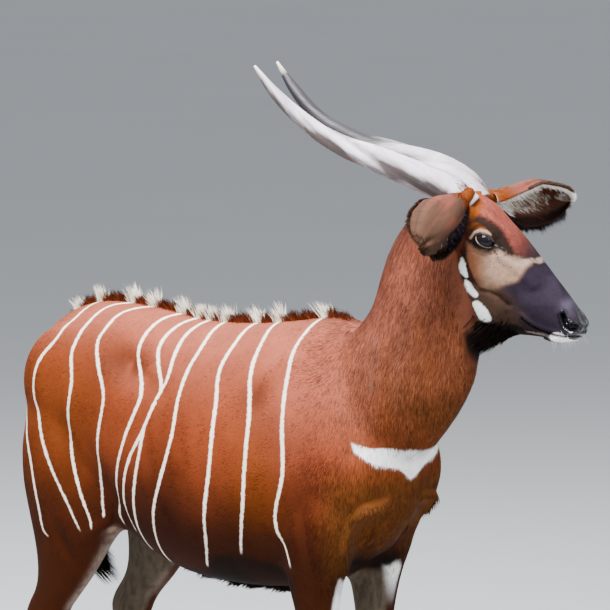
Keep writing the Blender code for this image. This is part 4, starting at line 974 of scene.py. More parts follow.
def head_colours(points, colours):
    """The coat's colours on the head, measured in its own frame, with painted sheen on the
    forehead, a painted highlight over the nostrils and painted shade inside them.
    """
    local = head_frame(points)
    a, b, z = local.T
    flat, across = local[:, ::2], np.abs(b)
    beside, outer = across > 0.02, across > 0.03
    fine, wide, hairs = noise(points, 0.01, 4), noise(points, 0.035, 3), noise(points, 0.0032, 35)
    stray = 0.0016 * fine
    combed = noise(local * (0.22, 1.0, 1.0) - np.stack([0 * a, 0 * a, 0.72 * a], 1), 0.004, 34)

    def line(places, outer_edge, core, ragged=0.0):
        return ramp(outer_edge, core, segment_distance(flat, places) + ragged)

    made = Tones(points, colours, "brow")
    made.lay("chestnut", ramp(0.03, -0.01, a + 0.3 * (1.36 - z)) * 0.85)
    red = ramp(-0.006, 0.009, z - np.interp(a, *FOREHEAD_LOW.T) + 0.003 * combed)
    made.lay("forehead", red * ramp(0.165, 0.09, a + 0.01 * wide))
    made.lay("brow", 0.42 * red * ramp(-0.3, 0.8, combed))
    # Painted sheen: streaks of pale light along the hair of the forehead
    streaks = ramp(-0.1, 0.6, noise(local * (0.25, 1.0, 0.25), 0.0045, 32))
    made.lay("sheen", 0.3 * red * streaks * ramp(0.13, 0.06, a))
    made.shade(1.0 + 0.12 * fine + 0.1 * wide + 0.16 * combed)
    made.lay("muzzle", 0.5 * red * ramp(0.12, 0.16, a))
    lower = ramp(1.29, 1.27, z + 0.4 * stray) * ramp(0.0, 0.04, a)
    made.lay("jaw", 0.9 * lower)
    made.lay("brow", 0.92 * inside(flat, BROW, stray + 0.002 * combed, 0.005) * beside)
    tan = Tones(points, colours, "cheek")
    tan.lay("gold", 0.62 * ramp(0.085, 0.03, a) + 0.2 * wide)
    tan.lay("jaw", 0.45 * ramp(1.305, 1.278, z + 0.25 * (a - 0.09)))
    tan.lay("pale", 0.38 * spot(a, z, (0.104, 1.34), (0.022, 0.022)))
    made.lay(tan.made, 0.96 * inside(flat, CHEEK, stray + 0.0026 * hairs, 0.007) * beside)
    made.lay("muzzle", 0.96 * inside(flat, MUZZLE, 1.6 * stray + 0.0034 * hairs, 0.009))
    made.lay("jaw", 0.55 * ramp(0.15, 0.12, a + 0.6 * (z - 1.24)) * lower)
    made.shade(1.0 + 0.13 * hairs + 0.1 * noise(points, 0.0065, 36))
    speckled = 1.0 - 0.6 * ramp(-0.1, 0.6, noise(points, 0.0035, 33))
    made.lay("pale", 0.88 * speckled * inside(flat, CHEVRON, stray, 0.0026))
    made.lay("dark", 0.75 * line(JAW_LINE, 0.0044, 0.0014, stray))
    # Painted highlight: lilac shine over the nostrils, and faint lilac shine in patches on the
    # muzzle
    made.lay("lilac", 0.5 * spot(a, z, (0.228, 1.247), (0.014, 0.013))
             + 0.1 * ramp(0.0, 0.6, wide) * (a > 0.13))
    made.lay("dusk", 0.7 * ramp(1.232, 1.196, z + 0.006 * hairs) * ramp(0.1, 0.15, a))
    knob = np.hypot(np.hypot(a - 0.006, across - 0.048), z - 1.452)
    made.lay("gold", 0.85 * ramp(0.056, 0.04, knob + 0.004 * fine))
    made.lay("gold", 0.4 * line(LID_SPOT, 0.007, 0.003, stray) * outer)
    made.lay("cheek", 0.9 * line(LID_FOLD, 0.0042, 0.0018, 0.4 * stray) * outer)
    made.lay("black", 0.95 * ramp(0.0046, 0.0022, eye_distance(points) + 0.3 * stray))
    made.lay("black", 0.92 * line(TEAR_STREAK, 0.0036, 0.0016) * outer)
    back = ramp(0.004, -0.004, a - np.interp(z, *NECK_EDGE) + 0.002 * hairs)
    made.lay("neck", 0.95 * back * (z < 1.385))
    for outline in CHEEK_SPOTS:
        ragged = stray + 0.0014 * hairs + 0.0009
        made.lay("white", 0.97 * inside(flat, outline, ragged, 0.0024) * beside)
    for along, high, reach in TEAR_DOTS:
        dot = np.hypot(a - along, z - high)
        made.lay("muzzle", 0.85 * ramp(reach, 0.45 * reach, dot) * outer)
    made.lay("black", 0.96 * inside(flat, THROAT, stray, 0.0045)
             * ramp(1.1, 1.128, z + 0.008 * hairs))
    made.lay("pale", 0.85 * inside(flat, LOWER_LIP, stray + 0.002 * hairs, 0.003)
             * ramp(1.174, 1.18, z + 0.15 * (a - 0.2)))
    made.lay("white", 0.95 * inside(flat, UPPER_LIP, stray, 0.0014))
    made.lay("black", 0.96 * line(MOUTH_LINE, 0.003, 0.0014))
    hole = nostril_distance(flat)
    made.lay("nose", 0.85 * ramp(0.0095, 0.0045, hole + 0.5 * stray) * (across > 0.008))
    made.lay("nose", 0.97 * nose_mask(local))
    # Painted shade: near black inside the sunken nostril
    made.lay((0.002, 0.002, 0.003), ramp(0.0016, -0.0006, hole) * (across > 0.01))
    return made.made


def eye_distance(points):
    """How far outside the edge of the lids a place is, seen from straight outside."""
    best = np.full(len(points), 1.0)
    for side in (-1.0, 1.0):
        middle, forward, upward, outward = eye_axes(side)
        apart = points - middle
        p, q = apart @ forward, apart @ upward
        size = np.hypot(p / EYE_OPENING[0], q / EYE_OPENING[1])
        far = (size - 1.0) * np.hypot(p, q) / np.maximum(size, 0.2)
        best = np.where(apart @ outward > 0.0, np.minimum(best, far), best)
    return best


def nose_mask(local):
    """One on the bare wet nose between and round the nostrils."""
    return ramp(0.0018, -0.0018, region(local[:, ::2], NOSE))


def wet_mask(local):
    """One where the skin is wet: on the nose, round the nostrils and in the tear ducts."""
    flat = local[:, ::2]
    round_ = ramp(0.008, 0.004, nostril_distance(flat)) * ramp(0.214, 0.226, local[:, 0])
    tear = ramp(0.005, 0.0025, segment_distance(flat, TEAR_STREAK)) * (np.abs(local[:, 1]) > 0.03)
    return np.clip(nose_mask(local) + round_ + tear, 0.0, 1.0)


def coat_colours(points, normals, lines, colours):
    """The coat's colour at every point of the skin."""
    on_head = ramp(-0.01, 0.01, past_head_cut(points) + 0.004 * noise(points, 0.02, 8))
    on_head = on_head * (points[:, 2] > 1.1)
    made = np.empty_like(points)
    body, head = on_head < 1.0, on_head > 0.0
    made[head] = head_colours(points[head], colours)
    rest = body_colours(points[body], normals[body], lines, colours)
    share = on_head[body][:, None]
    made[body] = np.where(share > 0, made[body] * share, 0.0) + rest * (1.0 - share)
    return made


def hair_flow(points, normals):
    """Which way the hair lies: backward on the trunk, down the neck, rump and legs, and on the
    head from the brow to the nose and from the cheeks back to the throat."""
    x, y, z = points.T
    one = np.ones(len(points))
    flow = np.stack([-one, 0 * x, -0.3 * one], axis=1)
    down = np.array((-0.12, 0.0, -1.0))
    rump = ramp(-0.38, -0.54, x)
    chest = ramp(0.28, 0.44, x)
    neck = ramp(-0.04, 0.05, past_neck_cut(points))
    legs = ramp(0.72, 0.62, z) * (np.abs(x) > 0.2)
    mask = np.clip(rump + chest + neck + legs, 0, 1)[:, None]
    flow = flow * (1 - mask) + down * mask
    head = ramp(-0.01, 0.02, past_head_cut(points))
    local = head_frame(points)
    a, b, h = local.T
    nose = head_way((0.75, 0.0, -0.66))
    back = head_way((-0.75, 0.0, -0.55))
    crown = head_way((-0.8, 0.0, 0.35))
    facing = head_frame(normals + HEAD_ORIGIN)
    top = ramp(0.1, 0.55, facing[:, 2] * 0.7 + facing[:, 0] * 0.7)[:, None]
    on_crown = ramp(0.085, 0.045, a)[:, None] * ramp(1.36, 1.4, h)[:, None]
    face = nose * top + back * (1 - top)
    face = face * (1 - on_crown) + crown * on_crown
    flow = flow * (1 - head[:, None]) + face * head[:, None]
    sway = np.stack([noise(points, 0.05, 21 + k) for k in range(3)], axis=1)
    return tangent(unit(flow) + 0.22 * sway, normals)


# Materials

class Value:
    """A number socket on which Python's arithmetic adds Math nodes."""

    def __init__(self, tree, socket):
        self.tree, self.socket = tree, socket

    def math(self, operation, *operands):
        node = self.tree.nodes.new("ShaderNodeMath")
        node.operation = operation
        for slot, operand in zip(node.inputs, operands):
            if isinstance(operand, Value):
                self.tree.links.new(operand.socket, slot)
            else:
                slot.default_value = operand
        return Value(self.tree, node.outputs[0])

    def __add__(self, other):
        return self.math("ADD", self, other)

    def __radd__(self, other):
        return self.math("ADD", other, self)

    def __sub__(self, other):
        return self.math("SUBTRACT", self, other)

    def __rsub__(self, other):
        return self.math("SUBTRACT", other, self)

    def __mul__(self, other):
        return self.math("MULTIPLY", self, other)

    def __rmul__(self, other):
        return self.math("MULTIPLY", other, self)

    def power(self, other):
        return self.math("POWER", self, other)

    def clamp(self):
        return self.math("MINIMUM", self.math("MAXIMUM", self, 0.0), 1.0)


class Finish:
    """A material that grows from the Principled shader."""

    def __init__(self, name, roughness, **constants):
        self.material = bpy.data.materials.new(name)
        self.material.use_nodes = True
        self.tree = self.material.node_tree
        self.shader = self.tree.nodes["Principled BSDF"]
        self.shader.inputs["Roughness"].default_value = roughness
        for socket, value in constants.items():
            self.shader.inputs[socket.replace("_", " ")].default_value = value

    def node(self, kind, settings=None, **sockets):
        """Any node: its settings are set first, then its sockets get values or links."""
        made = self.tree.nodes.new(kind)
        for key, value in (settings or {}).items():
            setattr(made, key, value)
        for key, value in sockets.items():
            slot = made.inputs[int(key[1:]) if key[1:].isdigit() else key.replace("_", " ")]
            if isinstance(value, Value):
                self.tree.links.new(value.socket, slot)
            elif isinstance(value, bpy.types.NodeSocket):
                self.tree.links.new(value, slot)
            else:
                slot.default_value = value
        return made

    def place(self, scale=(1.0, 1.0, 1.0)):
        """Object coordinates, stretched."""
        coordinates = self.node("ShaderNodeTexCoord").outputs["Object"]
        return self.node("ShaderNodeMapping", Vector=coordinates, Scale=scale).outputs[0]

    def noise(self, size, detail=3.0, stretch=(1.0, 1.0, 1.0)):
        """Cloudy noise from 0 to 1 with grains of about a size."""
        made = self.node("ShaderNodeTexNoise", Vector=self.place(stretch), Scale=1.0 / size,
                         Detail=detail)
        return Value(self.tree, made.outputs[0])

    def number(self, name):
        """A number stored on the mesh."""
        made = self.node("ShaderNodeAttribute", {"attribute_name": name})
        return Value(self.tree, made.outputs["Fac"])

    def colour(self, name):
        """A colour stored on the mesh."""
        return self.node("ShaderNodeAttribute", {"attribute_name": name}).outputs["Color"]

    def mix(self, factor, one, two, how="MIX"):
        """Two colours mixed by a factor."""
        made = self.node("ShaderNodeMix", {"data_type": "RGBA", "blend_type": how},
                         _0=factor, _6=one, _7=two)
        return made.outputs[2]

    def paint(self, colour):
        self.tree.links.new(colour, self.shader.inputs["Base Color"])

    def feed(self, name, value):
        self.tree.links.new(value.socket, self.shader.inputs[name])

    def bump(self, height, distance, strength=1.0):
        made = self.node("ShaderNodeBump", Height=height, Distance=distance, Strength=strength)
        self.tree.links.new(made.outputs[0], self.shader.inputs["Normal"])


def rgba(colour):
    """A colour as four numbers for a socket."""
    return (*[float(c) for c in colour], 1.0)


def shown(*colour):
    """A displayed colour as four numbers of linear light for a socket."""
    return rgba(to_linear(colour))


def coat_finish(name, roughness):
    """Hair: the coat's own colours, lightened and darkened in small patches."""
    made = Finish(name, roughness, Specular_IOR_Level=0.04)
    shade = made.noise(0.012, 2.0) * 0.5 + made.noise(0.07, 2.0) * 0.5
    toned = made.mix((shade * 1.4 - 0.35).clamp(), rgba((0.8,) * 3), rgba((1.16,) * 3))
    made.paint(made.mix(1.0, made.colour("coat"), toned, "MULTIPLY"))
    return made


def skin_finish():
    """The skin under the hair: the same colours, with the hair's grain as bump, and a wet nose."""
    made = coat_finish("skin_finish", 0.72)
    wet = made.number("wet")
    grain = made.noise(0.0022, 3.0)
    pits = made.node("ShaderNodeTexVoronoi", Vector=made.place(), Scale=420.0)
    pebbles = Value(made.tree, pits.outputs[0]).power(0.5)
    made.bump((1.0 - wet) * grain * 0.6 + wet * pebbles * 0.35, 0.0016, 0.8)
    made.feed("Roughness", 0.72 - wet * 0.44)
    made.feed("Coat Weight", wet * 0.85)
    return made


# Hair

def blades(name, middles, halves, across, shades, unwrap):
    """Flat blades as one mesh: pairs of points, a half width to both sides of a middle line, and a
    tip. Each blade's UV patch, 0.003 across, lies at its root's place on the unwrap."""
    count, segments = len(middles), middles.shape[1] - 1
    reach = across[:, None] * halves
    pairs = np.stack([middles[:, :-1] - reach, middles[:, :-1] + reach], axis=2)
    points = np.concatenate([pairs.reshape(count, -1, 3), middles[:, -1:]], axis=1)
    shades = np.concatenate([np.repeat(shades[:, :-1], 2, axis=1), shades[:, -1:]], axis=1)
    share = np.repeat(np.linspace(0.0, 1.0, segments + 1)[:-1], 2)
    patch = np.vstack([np.stack([np.tile((0.0, PATCH), segments), PATCH * share], axis=1),
                       (PATCH / 2, PATCH)])
    places = (unwrap[:, None] + patch).reshape(-1, 2)
    k = 2 * np.arange(segments - 1)
    corners = np.vstack([np.stack([k, k + 1, k + 3, k, k + 3, k + 2], axis=1).reshape(-1, 3),
                         (2 * segments - 2, 2 * segments - 1, 2 * segments)])
    faces = (np.arange(count)[:, None, None] * (2 * segments + 1) + corners).reshape(-1, 3)
    made = make_mesh(name, points.reshape(-1, 3), faces)
    write_colours(made.data, "coat", np.clip(shades, 0.0, 0.97).reshape(-1, 3))
    layer = made.data.uv_layers.new(name="OFBake")
    layer.data.foreach_set("uv", places[faces.ravel()].astype(np.float32).ravel())
    return made


def grow(name, roots, normals, ways, length, width, lift, curl, shade, unwrap, segments):
    """Short hair. At share t of its length a hair's middle is root + length (t way - curl t^2
    normal), where way leans off the skin by the lift; its half width is width/2 (1 - t)^0.7 to
    both sides, and its shade is given for every station from root to tip."""
    t = np.linspace(0.0, 1.0, segments + 1)[None, :, None]
    lean = lift[:, None]
    leaned = unit(ways * np.cos(lean) + normals * np.sin(lean))
    middles = roots[:, None] + length[:, None, None] * (
        t * leaned[:, None] - curl[:, None, None] * t * t * normals[:, None])
    halves = width[:, None, None] / 2 * (1.0 - t[:, :-1]) ** 0.7
    return blades(name, middles, halves, unit(np.cross(leaned, normals)), shade, unwrap)


def dress(piece, finish, slot, *nodes):
    """Give a piece its material, hide the imported nodes it stands for, and let it ride; the slot
    is not used.
    """
    piece.data.materials.clear()
    piece.data.materials.append(finish.material)
    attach(piece, "root")
    if nodes:
        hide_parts(*nodes)
    return piece


class Surface:
    """Triangles of a mesh with what is stored at their corners, to grow hair on."""

    def __init__(self, mesh):
        self.points = read_points(mesh)
        self.normals = read_normals(mesh)
        mesh.calc_loop_triangles()
        corners = np.empty(len(mesh.loop_triangles) * 3, dtype=np.int32)
        mesh.loop_triangles.foreach_get("vertices", corners)
        self.corners = corners.reshape(-1, 3)
        a, b, c = (self.points[self.corners[:, k]] for k in range(3))
        self.areas = np.linalg.norm(np.cross(b - a, c - a), axis=1) / 2
        self.middles = (a + b + c) / 3

    def sow(self, density, random):
        """Random places on the triangles, so many to a square metre, and their normals."""
        wanted = self.areas * density
        count = np.floor(wanted + random.random(len(wanted))).astype(int)
        chosen = np.repeat(np.arange(len(wanted)), count)
        u, v = random.random((2, len(chosen), 1))
        over = (u + v) > 1.0
        u, v = np.where(over, 1.0 - u, u), np.where(over, 1.0 - v, v)
        a, b, c = (self.corners[chosen, k] for k in range(3))
        points = self.points[a] * (1 - u - v) + self.points[b] * u + self.points[c] * v
        normals = unit(self.normals[a] * (1 - u - v) + self.normals[b] * u + self.normals[c] * v)
        return points, normals


def unwrap_round(points, start, stop, twist=0.0):
    """Share of the way along an axis, and share of one turn round it, kept off the borders."""
    start, stop = np.array(start, dtype=float), np.array(stop, dtype=float)
    axis = stop - start
    share = (points - start) @ axis / (axis @ axis)
    one = unit(np.cross(axis, np.array((0.0, 1.0, 0.001))))
    two = unit(np.cross(axis, one))
    apart = points - start
    turn = (np.arctan2(apart @ two, apart @ one) / (2 * math.pi) + twist) % 1.0
    low, high = share.min(), share.max()
    share = (share - low) / max(high - low, 1e-6)
    return np.stack([0.01 + 0.975 * share, 0.01 + 0.975 * turn], axis=1)


# The coat's pieces: name, slot, unwrap axis, hairs to a square metre, hair length, hair width,
# lift off the skin in degrees, and segments of a hair
TRUNK = (0.0105, 0.0017, 9, 2)
LOWER_LEG = (1.9, 0.0095, 0.0014, 9, 1)
FRONT_AXIS, REAR_AXIS = ((-0.1, 0, 0.88), (0.5, 0, 0.9)), ((-0.6, 0, 0.92), (-0.1, 0, 0.88))
COATS = (
    ("coat_shoulder_right", "body_coat", FRONT_AXIS, 1.0, *TRUNK),
    ("coat_shoulder_left", "body_coat", FRONT_AXIS, 1.0, *TRUNK),
    ("coat_rump_right", "body_coat", REAR_AXIS, 1.0, *TRUNK),
    ("coat_rump_left", "body_coat", REAR_AXIS, 1.0, *TRUNK),
    ("coat_neck", "neck_coat", ((0.42, 0, 0.98), (0.6, 0.05, 1.36)), 1.25, 0.013, 0.0019, 9, 2),
    ("coat_head", "head_coat", ((0.58, 0.04, 1.36), (0.84, 0.15, 1.2)), 3.2, 0.0072, 0.0011,
     10, 1),
    ("coat_forelegs_right", "lower_leg_coat", ((0.33, -0.1, 0), (0.33, -0.1, 0.6)), *LOWER_LEG),
    ("coat_forelegs_left", "lower_leg_coat", ((0.31, 0.1, 0), (0.31, 0.1, 0.6)), *LOWER_LEG),
    ("coat_hindlegs_right", "lower_leg_coat", ((-0.45, -0.12, 0), (-0.4, -0.12, 0.7)), *LOWER_LEG),
    ("coat_hindlegs_left", "lower_leg_coat", ((-0.41, 0.12, 0), (-0.36, 0.12, 0.7)), *LOWER_LEG),
    ("coat_tail", "tail_hair", ((-0.58, 0, 1.06), (-0.57, 0.05, 0.65)), 1.6, 0.02, 0.0018, 12, 2),
)


def coat_of(points):
    """The number of the coat piece that each place belongs to."""
    x, y, z = points.T
    left = (y > 0).astype(int)
    number = np.where(x > -0.1, 0, 2) + left
    number = np.where(past_neck_cut(points) > 0.0, 4, number)
    number = np.where((past_head_cut(points) > 0.0) & (z > 1.1), 5, number)
    number = np.where((z < 0.6) & (x > 0.15) & (np.abs(y) > 0.03), 6 + left, number)
    number = np.where((z < 0.6) & (x < -0.15) & (np.abs(y) > 0.03), 8 + left, number)
    number = np.where((x < -0.552) & (np.abs(y) < 0.075) & (z > 0.62), 10, number)
    return number


def bare(points):
    """One where no hair grows: in the eyes' openings, on the wet nose and under the horns."""
    local = head_frame(points)
    found = wet_mask(local) > 0.5
    for side in (-1.0, 1.0):
        middle, forward, upward, outward = eye_axes(side)
        apart = points - middle
        p, q = apart @ forward, apart @ upward
        open_ = (p / (EYE_OPENING[0] + 0.0035)) ** 2 + (q / (EYE_OPENING[1] + 0.0032)) ** 2 < 1.0
        found |= open_ & (np.linalg.norm(apart, axis=1) < 0.035)
        for number in (0, 1):
            horn = head_place((HORN[number][0], side * HORN[number][1], HORN[number][2]))
            found |= np.linalg.norm(points - horn, axis=1) < HORN_THICKNESS * 0.8
    mouth = segment_distance(local[:, ::2], MOUTH_LINE)
    found |= (mouth < 0.0024) & (local[:, 0] > 0.13) & (past_head_cut(points) > 0)
    found |= points[:, 2] < HOOF_HEIGHT + 0.002
    return found


# Pieces

def palette(scene):
    """The chosen colours as linear light, by name."""
    chosen = scene.antelope_colours
    return {name: to_linear(getattr(chosen, name)) for name in AntelopeColours.__annotations__}


def build_skin(scene):
    """The one skin of trunk, neck, head, legs and tail, with the markings stored on it."""
    skin = melt("skin", body_flesh() + head_flesh(), BODY_VOXEL)
    points = read_points(skin.data)
    head = ramp(-0.03, 0.0, past_head_cut(points))
    leg = ramp(0.62, 0.5, points[:, 2])
    weight = np.clip(1.0 - 0.75 * leg - 0.8 * head, 0.15, 1.0)
    write_points(skin.data, relax(skin.data, points, 10, weight))
    refine(skin, marked(stripe_lines(skin)))
    points = read_points(skin.data)
    write_points(skin.data, relax(skin.data, points, 2, np.full(len(points), 0.5)))
    points = read_points(skin.data)
    write_points(skin.data, shape_body(points, read_normals(skin.data)))
    fine = melt("fine_head", [loft(sections(NECK), around=56)] + head_flesh(), HEAD_VOXEL)
    points = read_points(fine.data)
    write_points(fine.data, relax(fine.data, points, 4, np.ones(len(points))))
    refine(skin, lambda middles, number: past_head_cut(middles) > -0.012)
    points = read_points(skin.data)
    share = ramp(-0.006, 0.014, past_head_cut(points)) * (points[:, 2] > 1.08)
    chosen = np.nonzero(share > 0)[0]
    for rounds in (2, 1, 0):
        near, _ = settle(points[chosen], fine)
        points[chosen] += (near - points[chosen]) * share[chosen, None]
        points = relax(skin.data, points, rounds, 0.9 * share)
    bpy.data.objects.remove(fine)
    write_points(skin.data, points)
    chosen = past_head_cut(points) > 0.0
    points[chosen] = carve_head(points[chosen], read_normals(skin.data)[chosen])
    head = ramp(-0.01, 0.03, past_head_cut(points))
    feet = ramp(0.1, 0.056, points[:, 2])
    depth = COAT_DEPTH * (1.0 - 0.55 * head) * (1.0 - 0.5 * feet)
    points = points - read_normals(skin.data) * depth[:, None]
    write_points(skin.data, points)
    shades = coat_colours(points, read_normals(skin.data), stripe_lines(skin), palette(scene))
    write_colours(skin.data, "coat", shades)
    wet = np.where(past_head_cut(points) > 0, wet_mask(head_frame(points)), 0.0)
    write_values(skin.data, "wet", wet)
    legs = ["%sleg_%s_%s" % (leg, part, word) for leg in ("fore", "hind")
            for part in ("upper", "lower") for word in ("left", "right")]
    return dress(skin, skin_finish(), "body_coat", "torso", "neck", "head", "tail", *legs)


def build_coat(scene):
    """Short hair over the whole skin, one piece to a region."""
    sizes = scene.antelope_sizes
    skin = bpy.data.objects["skin"]
    surface = Surface(skin.data)
    lines = stripe_lines(skin)
    random = np.random.default_rng(7)
    region_of = coat_of(surface.middles)
    finish = coat_finish("hair_finish", 0.65)
    colours = palette(scene)
    for number, (name, slot, axis, thick, length, width, lift, segments) in enumerate(COATS):
        density = np.where(region_of == number, sizes.hair_density * thick, 0.0)
        roots, normals = surface.sow(density, random)
        keep = ~bare(roots)
        roots, normals = roots[keep], normals[keep]
        count = len(roots)
        smooth = hair_flow(roots, normals)
        up_neck = ramp(-0.16, 0.08, past_neck_cut(roots))
        stray = (0.12 + 0.14 * up_neck * (roots[:, 2] > 0.9))[:, None]
        clump = np.stack([noise(roots, 0.014, 41 + k) for k in range(3)], axis=1)
        ways = smooth + stray * clump + 0.5 * stray * random.normal(size=(count, 3))
        ways = tangent(ways, normals)
        shaggy = up_neck * ramp(0.8, 0.95, roots[:, 2])
        shaggy = shaggy * name.startswith(("coat_shoulder", "coat_neck"))
        if name.startswith("coat_shoulder"):
            chest = ramp(0.33, 0.4, roots[:, 0]) * ramp(0.6, 0.64, roots[:, 2])
            shaggy = np.maximum(shaggy, 0.6 * chest * ramp(0.95, 0.9, roots[:, 2]))
        if name == "coat_head":
            local = head_frame(roots)
            shaggy = 0.8 * ramp(0.004, -0.012, local[:, 0] - np.interp(local[:, 2], *NECK_EDGE))
        lengths = (length + 0.0105 * shaggy) * (0.75 + 0.5 * random.random(count))
        lengths *= 1.0 + 0.15 * noise(roots, 0.02, 51)
        if name.startswith(("coat_shoulder", "coat_rump")):
            lengths *= 1.0 - 0.45 * ramp(0.014, 0.008, stripe_distance(roots, lines)[0])
        shade = np.stack([coat_colours(roots + ways * (t * length), normals, lines, colours)
                          for t in np.linspace(0.15, 0.85, segments + 1)], axis=1)
        combed = roots - smooth * (0.7 * np.sum(roots * smooth, axis=1))[:, None]
        tone = (1.0 + 0.32 * random.normal(size=count) + 0.2 * noise(roots, 0.009, 61)
                + (0.2 + 0.12 * shaggy) * noise(combed, 0.0065, 62))
        shade = np.clip(shade * np.clip(tone, 0.55, 1.6)[:, None, None], 0.0, 0.97)
        lifts = np.radians(lift + 4.0 * shaggy) * (0.6 + 0.8 * random.random(count))
        # Painted shade: every hair is darker at its root and lighter at its tip
        made = grow(name, roots - normals * 0.0006, normals, ways, lengths,
                    width * (0.8 + 0.4 * random.random(count)), lifts, 0.75 * np.sin(lifts),
                    shade * np.linspace(0.74, 1.1, segments + 1)[:, None],
                    unwrap_round(roots, *axis), segments)
        dress(made, finish, slot)


def locks(name, slot, finish, roots, ways, flats, length, width, bend, colours, tips, segments=4):
    """Long hair as ribbons: each bends from its way by its bend, growing with the square of the
    share, and its flat side faces its flat direction."""
    low, high = roots.min(axis=0), roots.max(axis=0)
    wide = np.argsort(high - low)[::-1][:2]
    unwrap = 0.01 + 0.975 * (roots[:, wide] - low[wide]) / np.maximum(high[wide] - low[wide], 1e-6)
    t = np.linspace(0.0, 1.0, segments + 1)[None, :, None]
    middles = roots[:, None] + length[:, None, None] * (t * ways[:, None] + t * t * bend[:, None])
    shades = colours[:, None] + (tips - colours)[:, None] * t ** 1.5
    halves = width[:, None, None] / 2 * (1.0 - t[:, :-1]) ** 0.55
    made = blades(name, middles, halves, unit(np.cross(ways, flats)), shades, unwrap)
    return dress(made, finish, slot)


def drop_on(skin, starts, way):
    """Where lines from many starts first meet the skin, without those that pass it by."""
    places, met = settle(starts, skin, way)
    return places[met]


def upright(random, count):
    """Flat directions that face the sides and stray a little forward and back."""
    lean = random.normal(0, 0.5, count)
    return unit(np.stack([lean, np.ones(count), 0 * lean], axis=1))


def build_crest(skin, random, finish, colours):
    """The short erect mane on the spine: chestnut with dark tips, white where stripes meet it.
    The hairs' tips lean together into tufts a finger apart, and the white tufts stand highest."""
    x = random.uniform(CREST_FROM, CREST_TO, CREST_HAIRS)
    y = random.normal(0.0, 0.0065, CREST_HAIRS)
    roots = drop_on(skin, np.stack([x, y, 0 * x + 1.6], axis=1), (0.0, 0.0, -1.0))
    count = len(roots)
    x, y = roots[:, 0], roots[:, 1]
    tuft = np.round(x / CREST_STEP)
    pull = (tuft * CREST_STEP + 0.003 * np.sin(tuft * 2.7) - x) / 0.022
    ways = np.stack([-0.26 + 1.1 * pull + 0.16 * np.sin(tuft * 1.9) + random.normal(0, 0.1, count),
                     y * 16 + 0.14 * np.sin(tuft * 3.1) + random.normal(0, 0.12, count),
                     np.ones(count)], axis=1)
    ends = ramp(CREST_FROM, CREST_FROM + 0.04, x) * ramp(CREST_TO, CREST_TO - 0.05, x)
    tops = np.array([line[0][0] / 1000.0 for line in STRIPES if line[0][2] > 1130])
    near = np.min(np.abs(x[:, None] - tops[None, :]), axis=1)
    white = ramp(0.012, 0.007, near + 0.002 * random.normal(size=count))
    length = (0.013 + 0.023 * random.random(count)) * (0.5 + 0.5 * ends)
    length *= (1 + 0.18 * np.sin(tuft * 4.3)) * (0.78 + 0.44 * white)
    base = blend(colours["chestnut"] * 0.75 + 0 * roots, colours["stripe"], 0.9 * white)
    tips = blend(colours["dark"] + 0 * roots, colours["stripe"], white)
    tone = np.clip(1 + 0.2 * random.normal(size=count), 0.5, 1.5)[:, None]
    locks("crest_hair", "body_coat", finish, roots - (0, 0, 0.002), unit(ways),
          upright(random, count), length, 0.0013 + 0.0007 * random.random(count),
          0 * roots + (-0.18, 0, -0.05), base * tone * 0.9, tips * tone, 3)


def build_belly(skin, random, finish, colours):
    """The dark fringe along the middle of the belly."""
    x = random.uniform(BELLY_FROM, BELLY_TO, BELLY_HAIRS)
    y = random.normal(0.0, 0.016, BELLY_HAIRS)
    roots = drop_on(skin, np.stack([x, y, 0 * x + 0.3], axis=1), (0.0, 0.0, 1.0))
    count = len(roots)
    x, y = roots[:, 0], roots[:, 1]
    tufts = noise(roots * (1, 0, 0), 0.022, 72)
    ways = np.stack([-0.75 + 0.3 * tufts + random.normal(0, 0.15, count),
                     y * 5 + random.normal(0, 0.15, count), -np.ones(count)], axis=1)
    ends = ramp(BELLY_FROM, BELLY_FROM + 0.06, x) * ramp(BELLY_TO, BELLY_TO - 0.08, x)
    length = (0.01 + 0.013 * random.random(count)) * (0.45 + 0.55 * ends) * (1 + 0.2 * tufts)
    base = colours["black"] * (1 + 0.3 * random.random((count, 1)))
    locks("belly_hair", "body_coat", finish, roots + (0, 0, 0.002), unit(ways),
          upright(random, count), length, 0.0018 + 0.001 * random.random(count),
          0 * roots + (-0.25, 0, 0.05), base, base * 1.3, 3)


def build_beard(skin, random, finish, colours):
    """The black tuft under the jaw and throat."""
    a = random.uniform(-0.005, 0.128, BEARD_HAIRS)
    b = random.normal(0.0, 0.017, BEARD_HAIRS)
    roots = drop_on(skin, head_place(np.stack([a, b, 0 * a + 1.0], axis=1)), (0.0, 0.0, 1.0))
    roots = roots[roots[:, 2] > 1.1]
    count = len(roots)
    a, b, _ = head_frame(roots).T
    ways = head_way(np.stack([-0.55 + random.normal(0, 0.16, count) + 2.0 * (a - 0.06),
                              b * 8 + random.normal(0, 0.14, count), -np.ones(count)], axis=1))
    size = bell(a - 0.045, 0.04) * (1.0 - 0.45 * np.minimum(np.abs(b) / 0.04, 1.0))
    length = (0.012 + 0.06 * size) * ramp(0.135, 0.085, a) * (0.7 + 0.5 * random.random(count))
    base = colours["black"] * (0.9 + 0.5 * random.random((count, 1)))
    flats = unit(random.normal(size=(count, 3)) * 0.5 + head_way((0.3, 1.0, 0.0)))
    locks("beard_hair", "head_coat", finish, roots + (0, 0, 0.002), unit(ways), flats, length,
          0.0013 + 0.0009 * random.random(count), 0 * roots + head_way((-0.28, 0.0, 0.06)),
          base, base * 1.15, 3)


